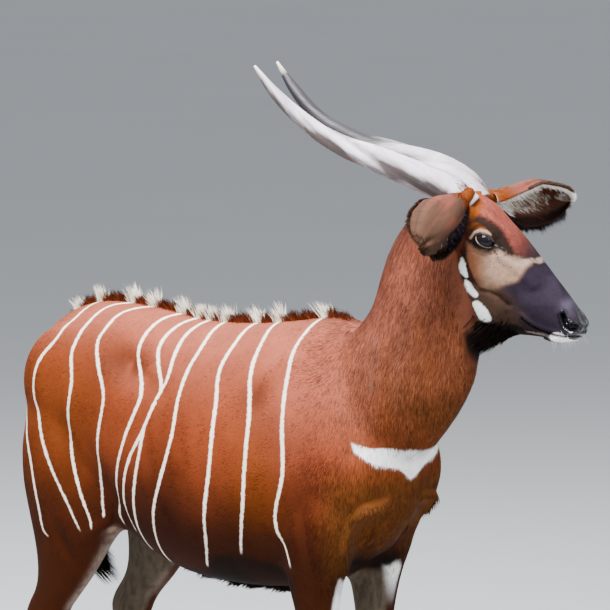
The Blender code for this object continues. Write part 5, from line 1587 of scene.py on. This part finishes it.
def build_tuft(skin, random, finish, colours):
    """The dark tuft at the end of the tail, and longer hair down its dock."""
    path = curve(TAIL, 12)
    count = TUFT_HAIRS
    share = 0.42 + 0.56 * random.random(count) ** 0.8
    at = share * (len(path) - 1)
    index = np.minimum(at.astype(int), len(path) - 2)
    part = (at - index)[:, None]
    rows = path[index] * (1 - part) + path[index + 1] * part
    along = unit(path[index + 1, :3] - path[index, :3])
    out = tangent(random.normal(size=(count, 3)), along)
    roots = rows[:, :3] + out * rows[:, 3:] * 0.8
    ways = unit(along + out * (0.16 + 0.1 * random.random((count, 1))) + (0.02, 0.02, 0))
    length = (0.04 + 0.1 * ramp(0.45, 0.85, share)) * (0.7 + 0.45 * random.random(count))
    length = np.minimum(length, 0.08 + np.maximum(roots[:, 2] - 0.58, 0.01))
    base = blend(colours["chestnut"] + 0 * roots, colours["black"], ramp(0.48, 0.66, share))
    base = base * (0.8 + 0.5 * random.random((count, 1)))
    swing = ramp(0.6, 0.95, share)[:, None]
    bend = -out * 0.14 + (0.03, 0.03, -0.06) + swing * (0.24, 0.22, 0.0)
    locks("tail_tuft", "tail_hair", finish, roots, ways, out, length,
          0.002 + 0.0014 * random.random(count), bend, base, base * 1.1, 4)


def ear_axes(word):
    """The ear's root and its along, across and facing directions in the maker's frame."""
    base, along, facing = EARS[word]
    first = unit(head_way(along))
    third = tangent(head_way(facing), first)
    return head_place(base), first, np.cross(third, first), third


def ear_surface(word, u, v, offset=0.0):
    """The cupped leaf: at share u along it and v from edge to edge it is an arc whose spread opens
    from the roll at the root, bowed back by the sine of u, with shallow folds down its length and
    a rippled edge."""
    base, first, second, third = ear_axes(word)
    u, v = u[..., None], v[..., None]
    half = EAR_WIDTH / 2 * np.interp(u, *EAR_OUTLINE)
    spread = np.radians(EAR_ROLL - EAR_UNROLL * np.minimum(1.0, u / 0.45))
    folds = 0.0014 * np.sin(10.0 * v + 4.0 * u) * bell(u - 0.4, 0.35) * (1 - v * v)
    notch = 0.0085 * spot(u, v, (0.93, -0.14), (0.08, 0.13)) * (word == "right")
    radius = half / spread * 1.18 + offset + folds - notch
    ripple = 0.0032 * np.abs(v) ** 3 * np.sin(9.0 * u + 2.0 * np.sign(v))
    angle = v * spread
    bow = EAR_BOW * np.sin(math.pi * u)
    return (base + first * (u * EAR_LENGTH) + second * (radius * np.sin(angle))
            + third * ((half / spread * 1.18) - radius * np.cos(angle) - bow + ripple))


def ear_colours(u, v, inside_, colours):
    """The ear's markings: a tan back with an orange root, a dark front edge and bands of painted
    light and shade along its folds; inside, a pink middle with dark streaks between a cream upper
    and a black lower border."""
    spots = np.stack([u * 5.0, v * 9.0, 0 * u], axis=1)
    cloud = noise(spots, 1.0, 81)
    fold_shading = noise(np.stack([u * 2.0, v * 14.0 + 3.0 * u, 0 * u], axis=1), 1.0, 84)
    made = Tones(u, colours, "ear_back")
    made.shade(1.0 + 0.12 * cloud)
    made.lay("forehead", 0.6 * ramp(-0.2, 0.6, cloud + 0.6 * v) * ramp(0.8, 0.3, u))
    # Painted light and shade of the folds: lighter and darker bands along the back
    made.shade(1.0 + 0.22 * fold_shading * ramp(0.1, 0.4, u))
    made.lay("deep", 0.35 * ramp(0.2, 0.9, fold_shading) * ramp(0.3, 0.7, u))
    made.lay("gold", 0.85 * ramp(0.24, 0.06, u))
    made.lay("jaw", 0.4 * ramp(0.55, 0.95, u) * ramp(0.6, -0.2, v))
    made.lay("dusk", 0.9 * ramp(-0.2, -0.42, v + 0.1 * cloud) * ramp(0.86, 0.64, u))
    inner = Tones(u, colours, "ear_pink")
    inner.lay("dark", 0.6 * ramp(0.25, 0.8, noise(spots * (0.35, 1.3, 1.0), 1.0, 82)))
    inner.lay("jaw", ramp(0.55, 0.9, u))
    inner.lay("stripe", 0.9 * ramp(0.45, 0.8, v))
    inner.lay("black", 0.9 * ramp(-0.45, -0.75, v))
    made.made = np.where(inside_[:, None], inner.made, made.made)
    made.lay("stripe", 0.75 * ramp(0.86, 0.97, v) * ramp(0.1, 0.3, u) * inside_)
    made.lay("jaw", 0.35 * ramp(0.8, 0.97, v) * ramp(0.3, 0.5, u) * ~inside_)
    return made.made


# Hair of the ear by groups: how many, from and to along the ear and across it, on the inner (1)
# or outer (-1) face, its way along, across and out of the cup, its length, and its two colours
EAR_HAIR = (
    (1300, 0.02, 0.28, -0.75, 1.0, 1, (0.9, -0.3, 0.35), 0.02, "stripe", "white"),
    (1300, 0.25, 0.78, -0.5, 0.05, 1, (0.75, -0.55, 0.12), 0.016, "stripe", "cream"),
    (1600, 0.25, 0.98, 0.62, 1.0, 1, (0.8, -0.25, 0.3), 0.014, "white", "stripe"),
    (1500, 0.3, 1.0, 0.9, 1.0, -1, (0.85, 0.4, 0.1), 0.009, "ear_back", "jaw"),
    (2600, 0.06, 0.95, -1.0, -0.55, 1, (0.62, -0.8, 0.1), 0.022, "black", "dark"),
    (1500, 0.1, 0.85, -1.0, -0.88, -1, (0.55, -0.85, 0.05), 0.014, "black", "jaw"),
    (1200, 0.66, 0.98, -0.7, 0.55, 1, (0.8, -0.4, 0.2), 0.018, "gold", "jaw"),
    (2400, 0.04, 0.66, -0.8, -0.3, -1, (0.7, -0.55, -0.25), 0.015, "dusk", "black"),
    (1500, 0.0, 0.16, -1.0, 1.0, -1, (1.0, 0.0, -0.12), 0.016, "gold", "chestnut"),
    (700, 0.92, 1.0, -1.0, 1.0, -1, (1.0, -0.2, 0.05), 0.01, "jaw", "ear_back"),
)
# Hair that only the far ear shows: the bright spiky end of its inner face
FAR_EAR_HAIR = ((1500, 0.84, 1.0, -0.1, 1.0, 1, (1.0, -0.1, 0.2), 0.017, "white", "stripe"),)


def build_ears(scene):
    """Both ears: a thin cupped shell, short fur on its back, long hair inside and on its rims."""
    colours = palette(scene)
    skin_look = coat_finish("ear_skin_finish", 0.62)
    skin_look.bump(skin_look.noise(0.003, 3.0), 0.001, 0.6)
    hair_look = coat_finish("ear_hair_finish", 0.5)
    random = np.random.default_rng(23)
    rows, columns = 72, 60
    for word, _ in SIDES:
        u, v = np.meshgrid(np.linspace(0, 1, rows), np.linspace(-1, 1, columns), indexing="ij")
        front = ear_surface(word, u, v, -0.0016)
        rear = ear_surface(word, u, v, 0.0016)
        points = np.concatenate([front.reshape(-1, 3), rear.reshape(-1, 3)])
        i, j = np.meshgrid(np.arange(rows - 1), np.arange(columns - 1), indexing="ij")
        a = (i * columns + j).ravel()
        quad = np.stack([a, a + 1, a + columns + 1, a + columns], axis=1)
        far = rows * columns
        rim = np.concatenate([np.arange(columns), np.arange(1, rows) * columns + columns - 1,
                              (rows - 1) * columns + np.arange(columns - 2, -1, -1),
                              np.arange(rows - 2, 0, -1) * columns])
        after = np.roll(rim, -1)
        wall = np.stack([after, rim, rim + far, after + far], axis=1)
        faces = np.concatenate([quad, quad[:, ::-1] + far, wall])
        third = ear_axes(word)[3]
        ways = np.cross(points[quad[:, 1]] - points[quad[:, 0]],
                        points[quad[:, 3]] - points[quad[:, 0]])
        if np.sum(ways * third) < 0:
            faces = faces[:, ::-1]
        ear = make_mesh("ear_shell_" + word, points, faces)
        shades = ear_colours(np.tile(u.ravel(), 2), np.tile(v.ravel(), 2),
                             np.arange(len(points)) < far, colours)
        write_colours(ear.data, "coat", shades)
        dress(ear, skin_look, "ear_skin", "ear_" + word)
        ear_fur(word, random, hair_look, colours)
        ear_locks(word, random, hair_look, colours)


def ear_grid(word, u, v, face):
    """Places on one face of the ear, with the directions along it, across it and off it."""
    step = 0.01
    offset = -0.0012 * face
    roots = ear_surface(word, u, v, offset)
    along = unit(ear_surface(word, u + step, v, offset) - roots)
    across = unit(ear_surface(word, u, v + step, offset) - roots)
    off = unit(np.cross(along, across))
    off = off * np.sign(np.sum(off * (ear_surface(word, u, v, offset - 0.002 * face) - roots),
                               axis=1))[:, None]
    return roots, along, across, off


def ear_fur(word, random, finish, colours):
    """Short fur lying towards the tip on the ear's back."""
    count = EAR_HAIRS
    u, v = random.random(count) ** 0.8, random.uniform(-1, 1, count)
    roots, along, across, off = ear_grid(word, u, v, -1)
    shade = ear_colours(u + 0.02, v, np.zeros(count, dtype=bool), colours)
    shade = shade * np.clip(1 + 0.2 * random.normal(size=count), 0.5, 1.6)[:, None]
    ways = tangent(along + 0.25 * across * v[:, None] + 0.12 * random.normal(size=(count, 3)), off)
    lifts = np.radians(9) * (0.5 + random.random(count))
    # Painted shade: every hair is darker at its root and lighter at its tip
    made = grow("ear_fur_" + word, roots, off, ways, 0.0075 * (0.7 + 0.6 * random.random(count)),
                0.0011 * (0.8 + 0.4 * random.random(count)), lifts, 0.7 * np.sin(lifts),
                np.stack([shade * 0.8, shade * 1.12], axis=1),
                0.01 + 0.975 * np.stack([u, (v + 1) / 2], axis=1), 1)
    dress(made, finish, "ear_skin")


def ear_locks(word, random, finish, colours):
    """The long hair of the ear's cup and rims, group by group."""
    parts = []
    groups = EAR_HAIR + (FAR_EAR_HAIR if word == "left" else ())
    for count, u0, u1, v0, v1, face, (along_, across_, out_), size, one, two in groups:
        u1, size = (u1, size) if word == "left" or face < 0 else (min(u1, 0.8), 0.5 * size)
        u, v = random.uniform(u0, u1, count), random.uniform(v0, v1, count)
        roots, along, across, off = ear_grid(word, u, v, face)
        _, first, second, third = ear_axes(word)
        clump = noise(roots, 0.007, 83)[:, None]
        lying = first * along_ + second * across_ + third * out_
        ways = unit(lying + 0.35 * off + 0.18 * clump * across
                    + 0.14 * random.normal(size=(count, 3)))
        shade = blend(colours[one] + 0 * roots, colours[two], random.random(count))
        shade = shade * np.clip(1 + 0.18 * random.normal(size=count), 0.4, 1.5)[:, None]
        length = size * (0.55 + 0.75 * random.random(count)) * (0.75 + 0.25 * np.sin(math.pi * u))
        bend = unit(lying) * 0.12 - 0.1 * off
        flats = off + 0.5 * random.normal(size=(count, 3))
        parts.append((roots, ways, flats, length, 0.0008 + 0.0005 * random.random(count), bend,
                      shade, shade * 1.08))
    joined = [np.concatenate(column) for column in zip(*parts)]
    locks("ear_locks_" + word, "ear_skin", finish, *joined, 3)


def build_horns(scene):
    """Both horns: a keeled round profile carried along a bent path and turned once about it.

    The radius at an angle is the path's thickness times 1 + keel max(0, cos)^6 with a second
    softer keel behind, and shallow rings of growth fade out towards the tip.
    """
    look = horn_finish(scene)
    around = 72
    for word, side in SIDES:
        path = curve(HORN, 14)
        centres = head_place(path[:, :3] * np.array((1.0, side, 1.0)))
        _, out, up = path_axes(centres)
        share = np.linspace(0.0, 1.0, len(path))[:, None]
        angle = np.linspace(0.0, 2 * math.pi, around, endpoint=False)[None, :]
        keel = np.maximum(0.0, np.cos(angle)) ** 6
        second = np.maximum(0.0, np.cos(angle + 2.35)) ** 4
        hollow = bell(angle - 0.85, 0.3) + bell(angle - 5.45, 0.3)
        shape = (1.0 + HORN_KEEL * keel * (1.0 - 0.5 * share) + 0.07 * second
                 - 0.05 * np.cos(2 * angle) - 0.06 * hollow * (1.0 - share))
        rings = 0.012 * np.sin(share * 150.0 + 1.5 * np.cos(angle)) * ramp(0.55, 0.05, share)
        radius = HORN_THICKNESS * np.maximum(path[:, 3:], 0.05) * (shape + rings)
        turned = angle + side * 2 * math.pi * HORN_TURNS * share
        ring = (centres[:, None, :] + (out[:, None, :] * np.cos(turned)[..., None]
                                       + up[:, None, :] * np.sin(turned)[..., None])
                * radius[..., None])
        horn = make_mesh("horn_shell_" + word, *tube(ring))
        full = np.concatenate([np.repeat(share.ravel(), around), (0.0, 1.0)])
        write_values(horn.data, "share", full)
        write_values(horn.data, "keel", np.append(np.tile(keel.ravel(), len(path)), (0.0, 0.0)))
        hollows = np.append((hollow + 0 * share).ravel(), (0.0, 0.0))
        write_values(horn.data, "hollow", hollows)
        # Painted shade: the horn is darkened where it faces down, and the far (left) horn is
        # marked to be darkened as well
        write_values(horn.data, "under", ramp(0.3, -0.35, read_normals(horn.data)[:, 2]))
        write_values(horn.data, "far_horn_shade", np.full(len(full), 1.0 if word == "left" else 0.0))
        fibre = np.stack([share * 6.0 + 0 * angle, np.cos(angle) + 0 * share,
                          np.sin(angle) + 0 * share], axis=-1).reshape(-1, 3)
        write_colours(horn.data, "fibre", np.vstack([fibre, (0.0, 0.0, 0.0), (6.0, 0.0, 0.0)]))
        dress(horn, look, "horn", "horn_" + word)


def horn_finish(scene):
    """Horn: pale lilac grey, darker in its hollows and lighter along its keel, brown dirt in
    patches and streaks, painted shade underneath and over most of the far horn, fibres along its
    length and an ivory tip."""
    look = Finish("horn_finish", 0.42, Specular_IOR_Level=0.3)
    names = ("share", "keel", "hollow", "under", "far_horn_shade")
    share, keel, hollow, under, far_horn_shade = (look.number(name) for name in names)
    fibre = look.colour("fibre")
    streaks, patches = (
        Value(look.tree, look.node("ShaderNodeTexNoise", Vector=fibre, Scale=scale,
                                   Detail=detail).outputs[0])
        for scale, detail in ((4.0, 5.0), (0.9, 3.0)))
    clouds = look.noise(0.04, 4.0)
    specks = look.noise(0.0035, 2.0)
    pale = look.mix(clouds, shown(0.88, 0.85, 0.89), shown(0.62, 0.58, 0.6))
    # Painted shade where the horn faces down, darker in its hollows, real brown dirt in patches
    # and streaks, lighter along the keel
    dirt_and_shade = (under * 0.95 + hollow * 0.35 + (patches - 0.46) * 2.4 + (streaks - 0.5) * 0.7
            - keel * 0.3).clamp()
    toned = look.mix(dirt_and_shade * 0.95, pale, shown(0.24, 0.2, 0.185))
    # Painted shade on the far horn: darker in patches, then in a band over most of its length
    toned = look.mix(far_horn_shade * (patches * 0.45), toned, shown(0.34, 0.3, 0.3))
    far_shade_band = (far_horn_shade * ((share - 0.4) * 7.0).clamp() * (1.0 - ((share - 0.93) * 14.0).clamp())
             * (0.7 + streaks * 1.0)).clamp()
    toned = look.mix(far_shade_band * 0.96, toned, shown(0.115, 0.105, 0.125))
    base = ((0.09 - share) * 11.0).clamp() * 0.8
    toned = look.mix(base * streaks, toned, shown(0.3, 0.24, 0.22))
    tip = ((share - 0.94) * 16.0).clamp()
    toned = look.mix(tip * 0.9, toned, shown(0.92, 0.88, 0.77))
    speck = ((specks - 0.66) * 9.0).clamp() * 0.5
    look.paint(look.mix(speck, toned, shown(0.28, 0.23, 0.2)))
    look.bump(streaks * 0.7 + specks * 0.2, 0.0014, 0.7)
    look.feed("Roughness", 0.36 + streaks * 0.22)
    return look


def build_eyes(scene):
    """Eyeballs with a bulging cornea, an iris and a level pupil, in rimmed lids with lashes."""
    look = Finish("eye_finish", 0.08, Specular_IOR_Level=0.14, Coat_Weight=0.1,
                  Coat_Roughness=0.03)
    iris, pupil = look.number("iris"), look.number("pupil")
    fibres = look.noise(0.0012, 2.0)
    brown = look.mix(fibres, shown(0.15, 0.09, 0.07), shown(0.07, 0.04, 0.04))
    toned = look.mix(iris, shown(0.1, 0.07, 0.07), brown)
    look.paint(look.mix(pupil, toned, rgba((0.003, 0.004, 0.008))))
    lid_look = Finish("lid_finish", 0.34, Specular_IOR_Level=0.5)
    lid_look.paint(lid_look.mix(lid_look.noise(0.003), rgba((0.01, 0.007, 0.007)),
                                rgba((0.03, 0.018, 0.015))))
    hair = coat_finish("lash_finish", 0.45)
    colours = palette(scene)
    random = np.random.default_rng(5)
    for word, side in SIDES:
        middle, forward, upward, outward = eye_axes(side)
        axis_angle = np.linspace(0.0, math.pi, 48)[:, None]
        round_ = np.linspace(0.0, 2 * math.pi, 64, endpoint=False)[None, :]
        bulge = 1.0 + 0.045 * ramp(0.6, 0.25, axis_angle / 1.4)
        radial = np.sin(axis_angle) * EYE_RADIUS * bulge
        p, q = radial * np.cos(round_), radial * np.sin(round_)
        r = np.cos(axis_angle) * EYE_RADIUS * bulge + 0 * round_
        rings = middle + (p[..., None] * forward + q[..., None] * upward + r[..., None] * outward)
        points, faces = tube(rings[1:-1])
        ball = make_mesh("eyeball_" + word, points, faces)
        apart = points - middle
        p, q, r = apart @ forward, apart @ upward, apart @ outward
        reach = np.hypot(p, q)
        write_values(ball.data, "iris", ramp(0.015, 0.013, reach) * (r > 0))
        oblong = (p / 0.0085) ** 4 + (q / 0.0042) ** 4
        write_values(ball.data, "pupil", ramp(1.25, 0.8, oblong) * (r > 0))
        dress(ball, look, "eye", "eye_" + word)
        share = np.linspace(0.0, 1.0, 97)[:-1]
        edge = lid_edge(side, share)
        outer = lid_edge(side, share, 0.0042, 0.0022)
        way = unit(outer - edge)
        depth = unit(edge - middle)
        turn = np.linspace(0.0, 2 * math.pi, 12, endpoint=False)
        section = np.stack([np.cos(turn) * 0.0019, np.sin(turn) * 0.0014], axis=1)
        loop = (edge[:, None, :] + way[:, None, :] * (section[None, :, :1] + 0.0016)
                + depth[:, None, :] * (section[None, :, 1:] + 0.0004))
        i, j = np.meshgrid(np.arange(len(edge)), np.arange(12), indexing="ij")
        i2, j2 = (i + 1) % len(edge), (j + 1) % 12
        quads = np.stack([i * 12 + j, i2 * 12 + j, i2 * 12 + j2, i * 12 + j2], -1).reshape(-1, 4)
        flat = loop.reshape(-1, 3)
        spin = np.cross(flat[quads[:, 1]] - flat[quads[:, 0]],
                        flat[quads[:, 3]] - flat[quads[:, 0]])
        centre = np.repeat(loop.mean(axis=1), 12, axis=0)
        if np.sum(spin * (flat - centre)) < 0:
            quads = quads[:, ::-1]
        dress(make_mesh("lid_rim_" + word, flat, quads), lid_look, "head_coat")
        share = 0.04 + 0.44 * random.random(LASHES)
        roots = lid_edge(side, share, 0.0022, 0.0012)
        ways = unit((roots - middle) * 40 + upward * 0.15
                    + forward * random.normal(0, 0.15, (LASHES, 1)))
        lash = colours["black"] + 0 * roots
        locks("lashes_" + word, "head_coat", hair, roots, ways, upward + 0 * roots,
              0.007 + 0.004 * random.random(LASHES), 0.0005 + 0.0003 * random.random(LASHES),
              upward * -0.35 + 0 * roots, lash, lash, 3)


def build_hooves(scene):
    """Eight claws lofted from sole to coronet, with level rings of growth in their finish."""
    look = Finish("hoof_finish", 0.42, Specular_IOR_Level=0.45)
    rings = look.noise(0.003, 3.0, (0.12, 0.12, 1.0))
    scuffs = look.noise(0.012, 4.0)
    toned = look.mix(rings, rgba((0.012, 0.01, 0.009)), rgba((0.05, 0.04, 0.034)))
    look.paint(look.mix(((scuffs - 0.55) * 4.0).clamp() * 0.5, toned, rgba((0.11, 0.09, 0.075))))
    look.bump(rings * 0.7 + scuffs * 0.3, 0.0012, 0.8)
    look.feed("Roughness", 0.34 + scuffs * 0.3)
    for leg, (x, y) in HOOVES.items():
        for word, side in SIDES:
            for claw, outward in (("outer", 1.0), ("inner", -1.0)):
                rows = sections(CLAW, x + STEP[leg][side])
                rows[:, 5] = side * (y + outward * (rows[1, 4] + HOOF_SPLIT / 2))
                name = "%s_%s_%s" % (leg, claw, word)
                made = make_mesh("claw_" + name, *loft(rows, around=48, steps=8))
                dress(made, look, "hoof", "hoof_" + name)


def build_poll(skin, random, finish, colours):
    """Upright tufts over the ears' roots, orange with dark tips."""
    count = POLL_HAIRS
    side = np.where(random.random(count) < 0.5, -1.0, 1.0)
    out = unit(random.normal(size=(count, 3)) + (-0.2, 0.0, 1.2))
    local = (0.004, 0.0, 1.456) + out * 0.026
    local[:, 1] = side * (0.048 + out[:, 1] * 0.02)
    ways = head_way(np.stack([-0.25 + 0.25 * out[:, 0], side * (0.25 + 0.3 * out[:, 1]),
                              0.9 + 0 * side], axis=1))
    ways = unit(ways + 0.12 * random.normal(size=(count, 3)))
    base = colours["gold"] * np.clip(1 + 0.2 * random.normal(size=(count, 1)), 0.5, 1.5)
    tips = blend(base, colours["dark"], 0.8 * (random.random(count) > 0.45))
    length = 0.01 + 0.011 * random.random(count) * ramp(0.2, 0.9, out[:, 2])
    locks("poll_hair", "head_coat", finish, head_place(local), ways,
          random.normal(size=(count, 3)), length, 0.001 + 0.0005 * random.random(count),
          0 * ways + head_way((-0.3, 0.0, 0.0)), base, tips, 3)


def build_whiskers(skin, random, finish, colours):
    """Sparse pale whiskers on the lips and chin."""
    a = random.uniform(0.19, 0.25, WHISKERS)
    z = random.uniform(1.165, 1.196, WHISKERS)
    side = np.where(random.random(WHISKERS) < 0.5, -1.0, 1.0)
    starts = head_place(np.stack([a, side * 0.2, z], axis=1))
    right, met_right = settle(starts, skin, head_way((0.0, 1.0, 0.0)))
    left, met_left = settle(starts, skin, head_way((0.0, -1.0, 0.0)))
    met = np.where(side < 0, met_right, met_left)
    roots, side = np.where(side[:, None] < 0, right, left)[met], side[met]
    count = len(roots)
    ways = unit(head_way(np.stack([0.5 + random.normal(0, 0.2, count),
                                   side * (0.5 + 0.3 * random.random(count)),
                                   -0.9 + random.normal(0, 0.2, count)], axis=1)))
    shade = colours["white"] * 0.9 + 0 * roots
    locks("whiskers", "head_coat", finish, roots, ways, np.cross(ways, (0.3, 0.2, 0.9)),
          0.012 + 0.016 * random.random(count), np.full(count, 0.00026),
          0 * roots + (0.0, 0.0, -0.3), shade, shade, 3)


def build_long_hair(scene):
    """Crest, belly fringe, beard, tail tuft, poll tufts and whiskers."""
    random = np.random.default_rng(11)
    finish = coat_finish("long_hair_finish", 0.5)
    for build in (build_crest, build_belly, build_beard, build_tuft, build_poll, build_whiskers):
        build(bpy.data.objects["skin"], random, finish, palette(scene))


# The camera: where it aims in the maker's frame, how far off it stands and its turn and height
CAMERA_AIM = np.array((0.2, 0.0, 1.205))
CAMERA_DISTANCE = 9.0
CAMERA_ROUND, CAMERA_HIGH = math.radians(42.0), math.radians(7.0)
PIXEL_AT_AIM = 0.00212
FRAME_PIXELS = 610


def build_stage(scene):
    """A plain pale floor, a soft sky, three soft lights and the camera."""
    across, side = 60.0, np.linspace(0, 2 * math.pi, 64, endpoint=False)
    rim = np.stack([np.cos(side) * across, np.sin(side) * across, 0 * side], axis=1)
    points = np.vstack([rim, (0.0, 0.0, 0.0)])
    ring = np.arange(64)
    faces = np.stack([ring, np.roll(ring, -1), np.full(64, 64)], axis=1)
    floor = make_mesh("floor", points - SHIFT, faces)
    look = Finish("floor_finish", 0.85)
    tone = look.noise(1.5, 2.0)
    look.paint(look.mix(tone, rgba((0.42, 0.43, 0.44)), rgba((0.45, 0.46, 0.47))))
    floor.data.materials.append(look.material)
    world = bpy.data.worlds.new("studio_sky")
    world.use_nodes = True
    world.node_tree.nodes["Background"].inputs["Color"].default_value = (0.86, 0.9, 0.96, 1.0)
    world.node_tree.nodes["Background"].inputs["Strength"].default_value = 0.78
    scene.world = world
    middle = Vector(SHIFT + np.array((0.1, 0.0, 0.9)))
    for name, turn, high, far, size, power in (("key", 28, 62, 4.0, 2.2, 720.0),
                                               ("fill", 100, 30, 5.0, 3.0, 125.0),
                                               ("back", -120, 50, 4.5, 2.5, 280.0)):
        light = bpy.data.lights.new(name, "AREA")
        light.energy, light.size = power, size
        lamp = bpy.data.objects.new(name, light)
        a, e = math.radians(turn), math.radians(high)
        way = Vector((math.sin(a) * math.cos(e), -math.cos(a) * math.cos(e), math.sin(e)))
        lamp.location = middle + way * far
        lamp.rotation_euler = way.to_track_quat("Z", "Y").to_euler()
        scene.collection.objects.link(lamp)
    a, e = CAMERA_ROUND, CAMERA_HIGH
    back = Vector((math.sin(a) * math.cos(e), -math.cos(a) * math.cos(e), math.sin(e)))
    camera = bpy.data.cameras.new("camera")
    camera.sensor_width = 36.0
    camera.lens = camera.sensor_width * CAMERA_DISTANCE / PIXEL_AT_AIM / FRAME_PIXELS
    camera.clip_end = 200.0
    seat = bpy.data.objects.new("camera", camera)
    right = Vector((math.cos(a), math.sin(a), 0.0))
    turn = Matrix((right, back.cross(right), back)).transposed().to_4x4()
    turn.translation = Vector(SHIFT + CAMERA_AIM) + back * CAMERA_DISTANCE
    seat.matrix_world = turn
    scene.collection.objects.link(seat)
    scene.camera = seat


# The add-on

def colour_of(name, default, description):
    """A property that holds a displayed colour, given in steps of 255."""
    return FloatVectorProperty(name=name, description=description, subtype="COLOR_GAMMA",
                               min=0.0, max=1.0, default=[c / 255.0 for c in default])


class AntelopeSizes(bpy.types.PropertyGroup):
    """Sizes of the coat."""

    hair_density: IntProperty(name="Hair density", default=135000, min=10000, max=300000,
                              description="Hairs to a square metre of the trunk")


class AntelopeColours(bpy.types.PropertyGroup):
    """Colours of the coat, as they are displayed."""

    chestnut: colour_of("Chestnut", (119, 53, 27), "Flanks, back and upper legs")
    # Sheen is painted highlight; gold is a real warm tone, and also painted warm light on the
    # rump, the thigh and by the elbow
    sheen: colour_of("Sheen", (156, 86, 69), "Pale light on back, shoulder and brow")
    gold: colour_of("Gold", (112, 54, 11), "Warm light on rump, cheek and over the eyes")
    # Deep brown is a real darker tone, and also painted shade low on the trunk, in its hollows,
    # between the chest folds and in bands on the ears' backs
    deep: colour_of("Deep brown", (47, 19, 4), "Low on the flanks and the legs")
    olive: colour_of("Olive brown", (80, 47, 16), "Chest and the front of the neck")
    neck: colour_of("Neck", (110, 63, 46), "Longer hair of the neck")
    stripe: colour_of("Stripe", (255, 240, 222), "Body stripes and the face's chevron")
    white: colour_of("White", (252, 250, 248), "Chest crescent, cheek spots and lips")
    # Cream: the pale hair of the inner legs and neck wisps, in a tone darkened with painted shade
    cream: colour_of("Cream", (91, 81, 68), "Inner faces of the legs")
    dark: colour_of("Dark", (30, 15, 8), "Fronts of the legs and tips of the crest")
    black: colour_of("Black", (15, 9, 6), "Belly, beard and tail tuft")
    forehead: colour_of("Forehead", (121, 60, 51), "Brow and crown")
    brow: colour_of("Brow", (34, 22, 18), "Round the eyes and down the face")
    cheek: colour_of("Cheek", (145, 115, 96), "Pale cheek")
    jaw: colour_of("Jaw", (59, 43, 34), "Jaw and lower cheek")
    muzzle: colour_of("Muzzle", (35, 28, 39), "Dark muzzle")
    # Lilac is painted highlight over the nostrils and the muzzle
    lilac: colour_of("Lilac", (83, 76, 92), "Shine over the nostrils")
    nose: colour_of("Nose", (12, 11, 15), "Wet nose")
    pale: colour_of("Pale", (148, 130, 118), "Chevron and the cheek under the eye")
    dusk: colour_of("Dusk", (30, 25, 33), "Dark front edge of the ears")
    ear_back: colour_of("Ear back", (72, 50, 39), "Back of the ears")
    ear_pink: colour_of("Ear pink", (121, 76, 69), "Inside of the ears")


class Builder:
    """What every builder's button shares: it runs its maker and reports that it finished."""

    bl_options = {"REGISTER", "UNDO"}
    maker = None

    def execute(self, context):
        type(self).maker(context.scene)
        return {"FINISHED"}


class ANTELOPE_OT_skin(Builder, bpy.types.Operator):
    """Melt the flesh into one skin with its markings"""

    bl_idname = "antelope.skin"
    bl_label = "Skin"
    maker = staticmethod(build_skin)


class ANTELOPE_OT_coat(Builder, bpy.types.Operator):
    """Grow the short coat over the skin"""

    bl_idname = "antelope.coat"
    bl_label = "Short coat"
    maker = staticmethod(build_coat)


class ANTELOPE_OT_long_hair(Builder, bpy.types.Operator):
    """Grow crest, belly fringe, beard, tail tuft and whiskers"""

    bl_idname = "antelope.long_hair"
    bl_label = "Long hair"
    maker = staticmethod(build_long_hair)


class ANTELOPE_OT_ears(Builder, bpy.types.Operator):
    """Build both ears and their hair"""

    bl_idname = "antelope.ears"
    bl_label = "Ears"
    maker = staticmethod(build_ears)


class ANTELOPE_OT_horns(Builder, bpy.types.Operator):
    """Build both twisted horns"""

    bl_idname = "antelope.horns"
    bl_label = "Horns"
    maker = staticmethod(build_horns)


class ANTELOPE_OT_eyes(Builder, bpy.types.Operator):
    """Build both eyes with lids and lashes"""

    bl_idname = "antelope.eyes"
    bl_label = "Eyes"
    maker = staticmethod(build_eyes)


class ANTELOPE_OT_hooves(Builder, bpy.types.Operator):
    """Build the eight claws of the hooves"""

    bl_idname = "antelope.hooves"
    bl_label = "Hooves"
    maker = staticmethod(build_hooves)


class ANTELOPE_OT_stage(Builder, bpy.types.Operator):
    """Set floor, lights and camera"""

    bl_idname = "antelope.stage"
    bl_label = "Stage"
    maker = staticmethod(build_stage)


OPERATORS = (ANTELOPE_OT_skin, ANTELOPE_OT_coat, ANTELOPE_OT_long_hair, ANTELOPE_OT_ears,
             ANTELOPE_OT_horns, ANTELOPE_OT_eyes, ANTELOPE_OT_hooves, ANTELOPE_OT_stage)


class ANTELOPE_PT_panel(bpy.types.Panel):
    """The antelope's sizes, colours and builders"""

    bl_idname = "ANTELOPE_PT_panel"
    bl_label = "Antelope"
    bl_space_type = "VIEW_3D"
    bl_region_type = "UI"
    bl_category = "Antelope"

    def draw(self, context):
        for group in (context.scene.antelope_sizes, context.scene.antelope_colours):
            for name in group.__annotations__:
                self.layout.prop(group, name)
        for operator in OPERATORS:
            self.layout.operator(operator.bl_idname)


CLASSES = (AntelopeSizes, AntelopeColours, *OPERATORS, ANTELOPE_PT_panel)


def register():
    """Add the classes and the scene's property groups."""
    for each in CLASSES:
        bpy.utils.register_class(each)
    bpy.types.Scene.antelope_sizes = PointerProperty(type=AntelopeSizes)
    bpy.types.Scene.antelope_colours = PointerProperty(type=AntelopeColours)


def unregister():
    """Take them away again."""
    del bpy.types.Scene.antelope_colours
    del bpy.types.Scene.antelope_sizes
    for each in reversed(CLASSES):
        bpy.utils.unregister_class(each)


def main():
    register()
    for operator in OPERATORS:
        group, name = operator.bl_idname.split(".")
        getattr(getattr(bpy.ops, group), name)()


if __name__ == "__main__":
    main()
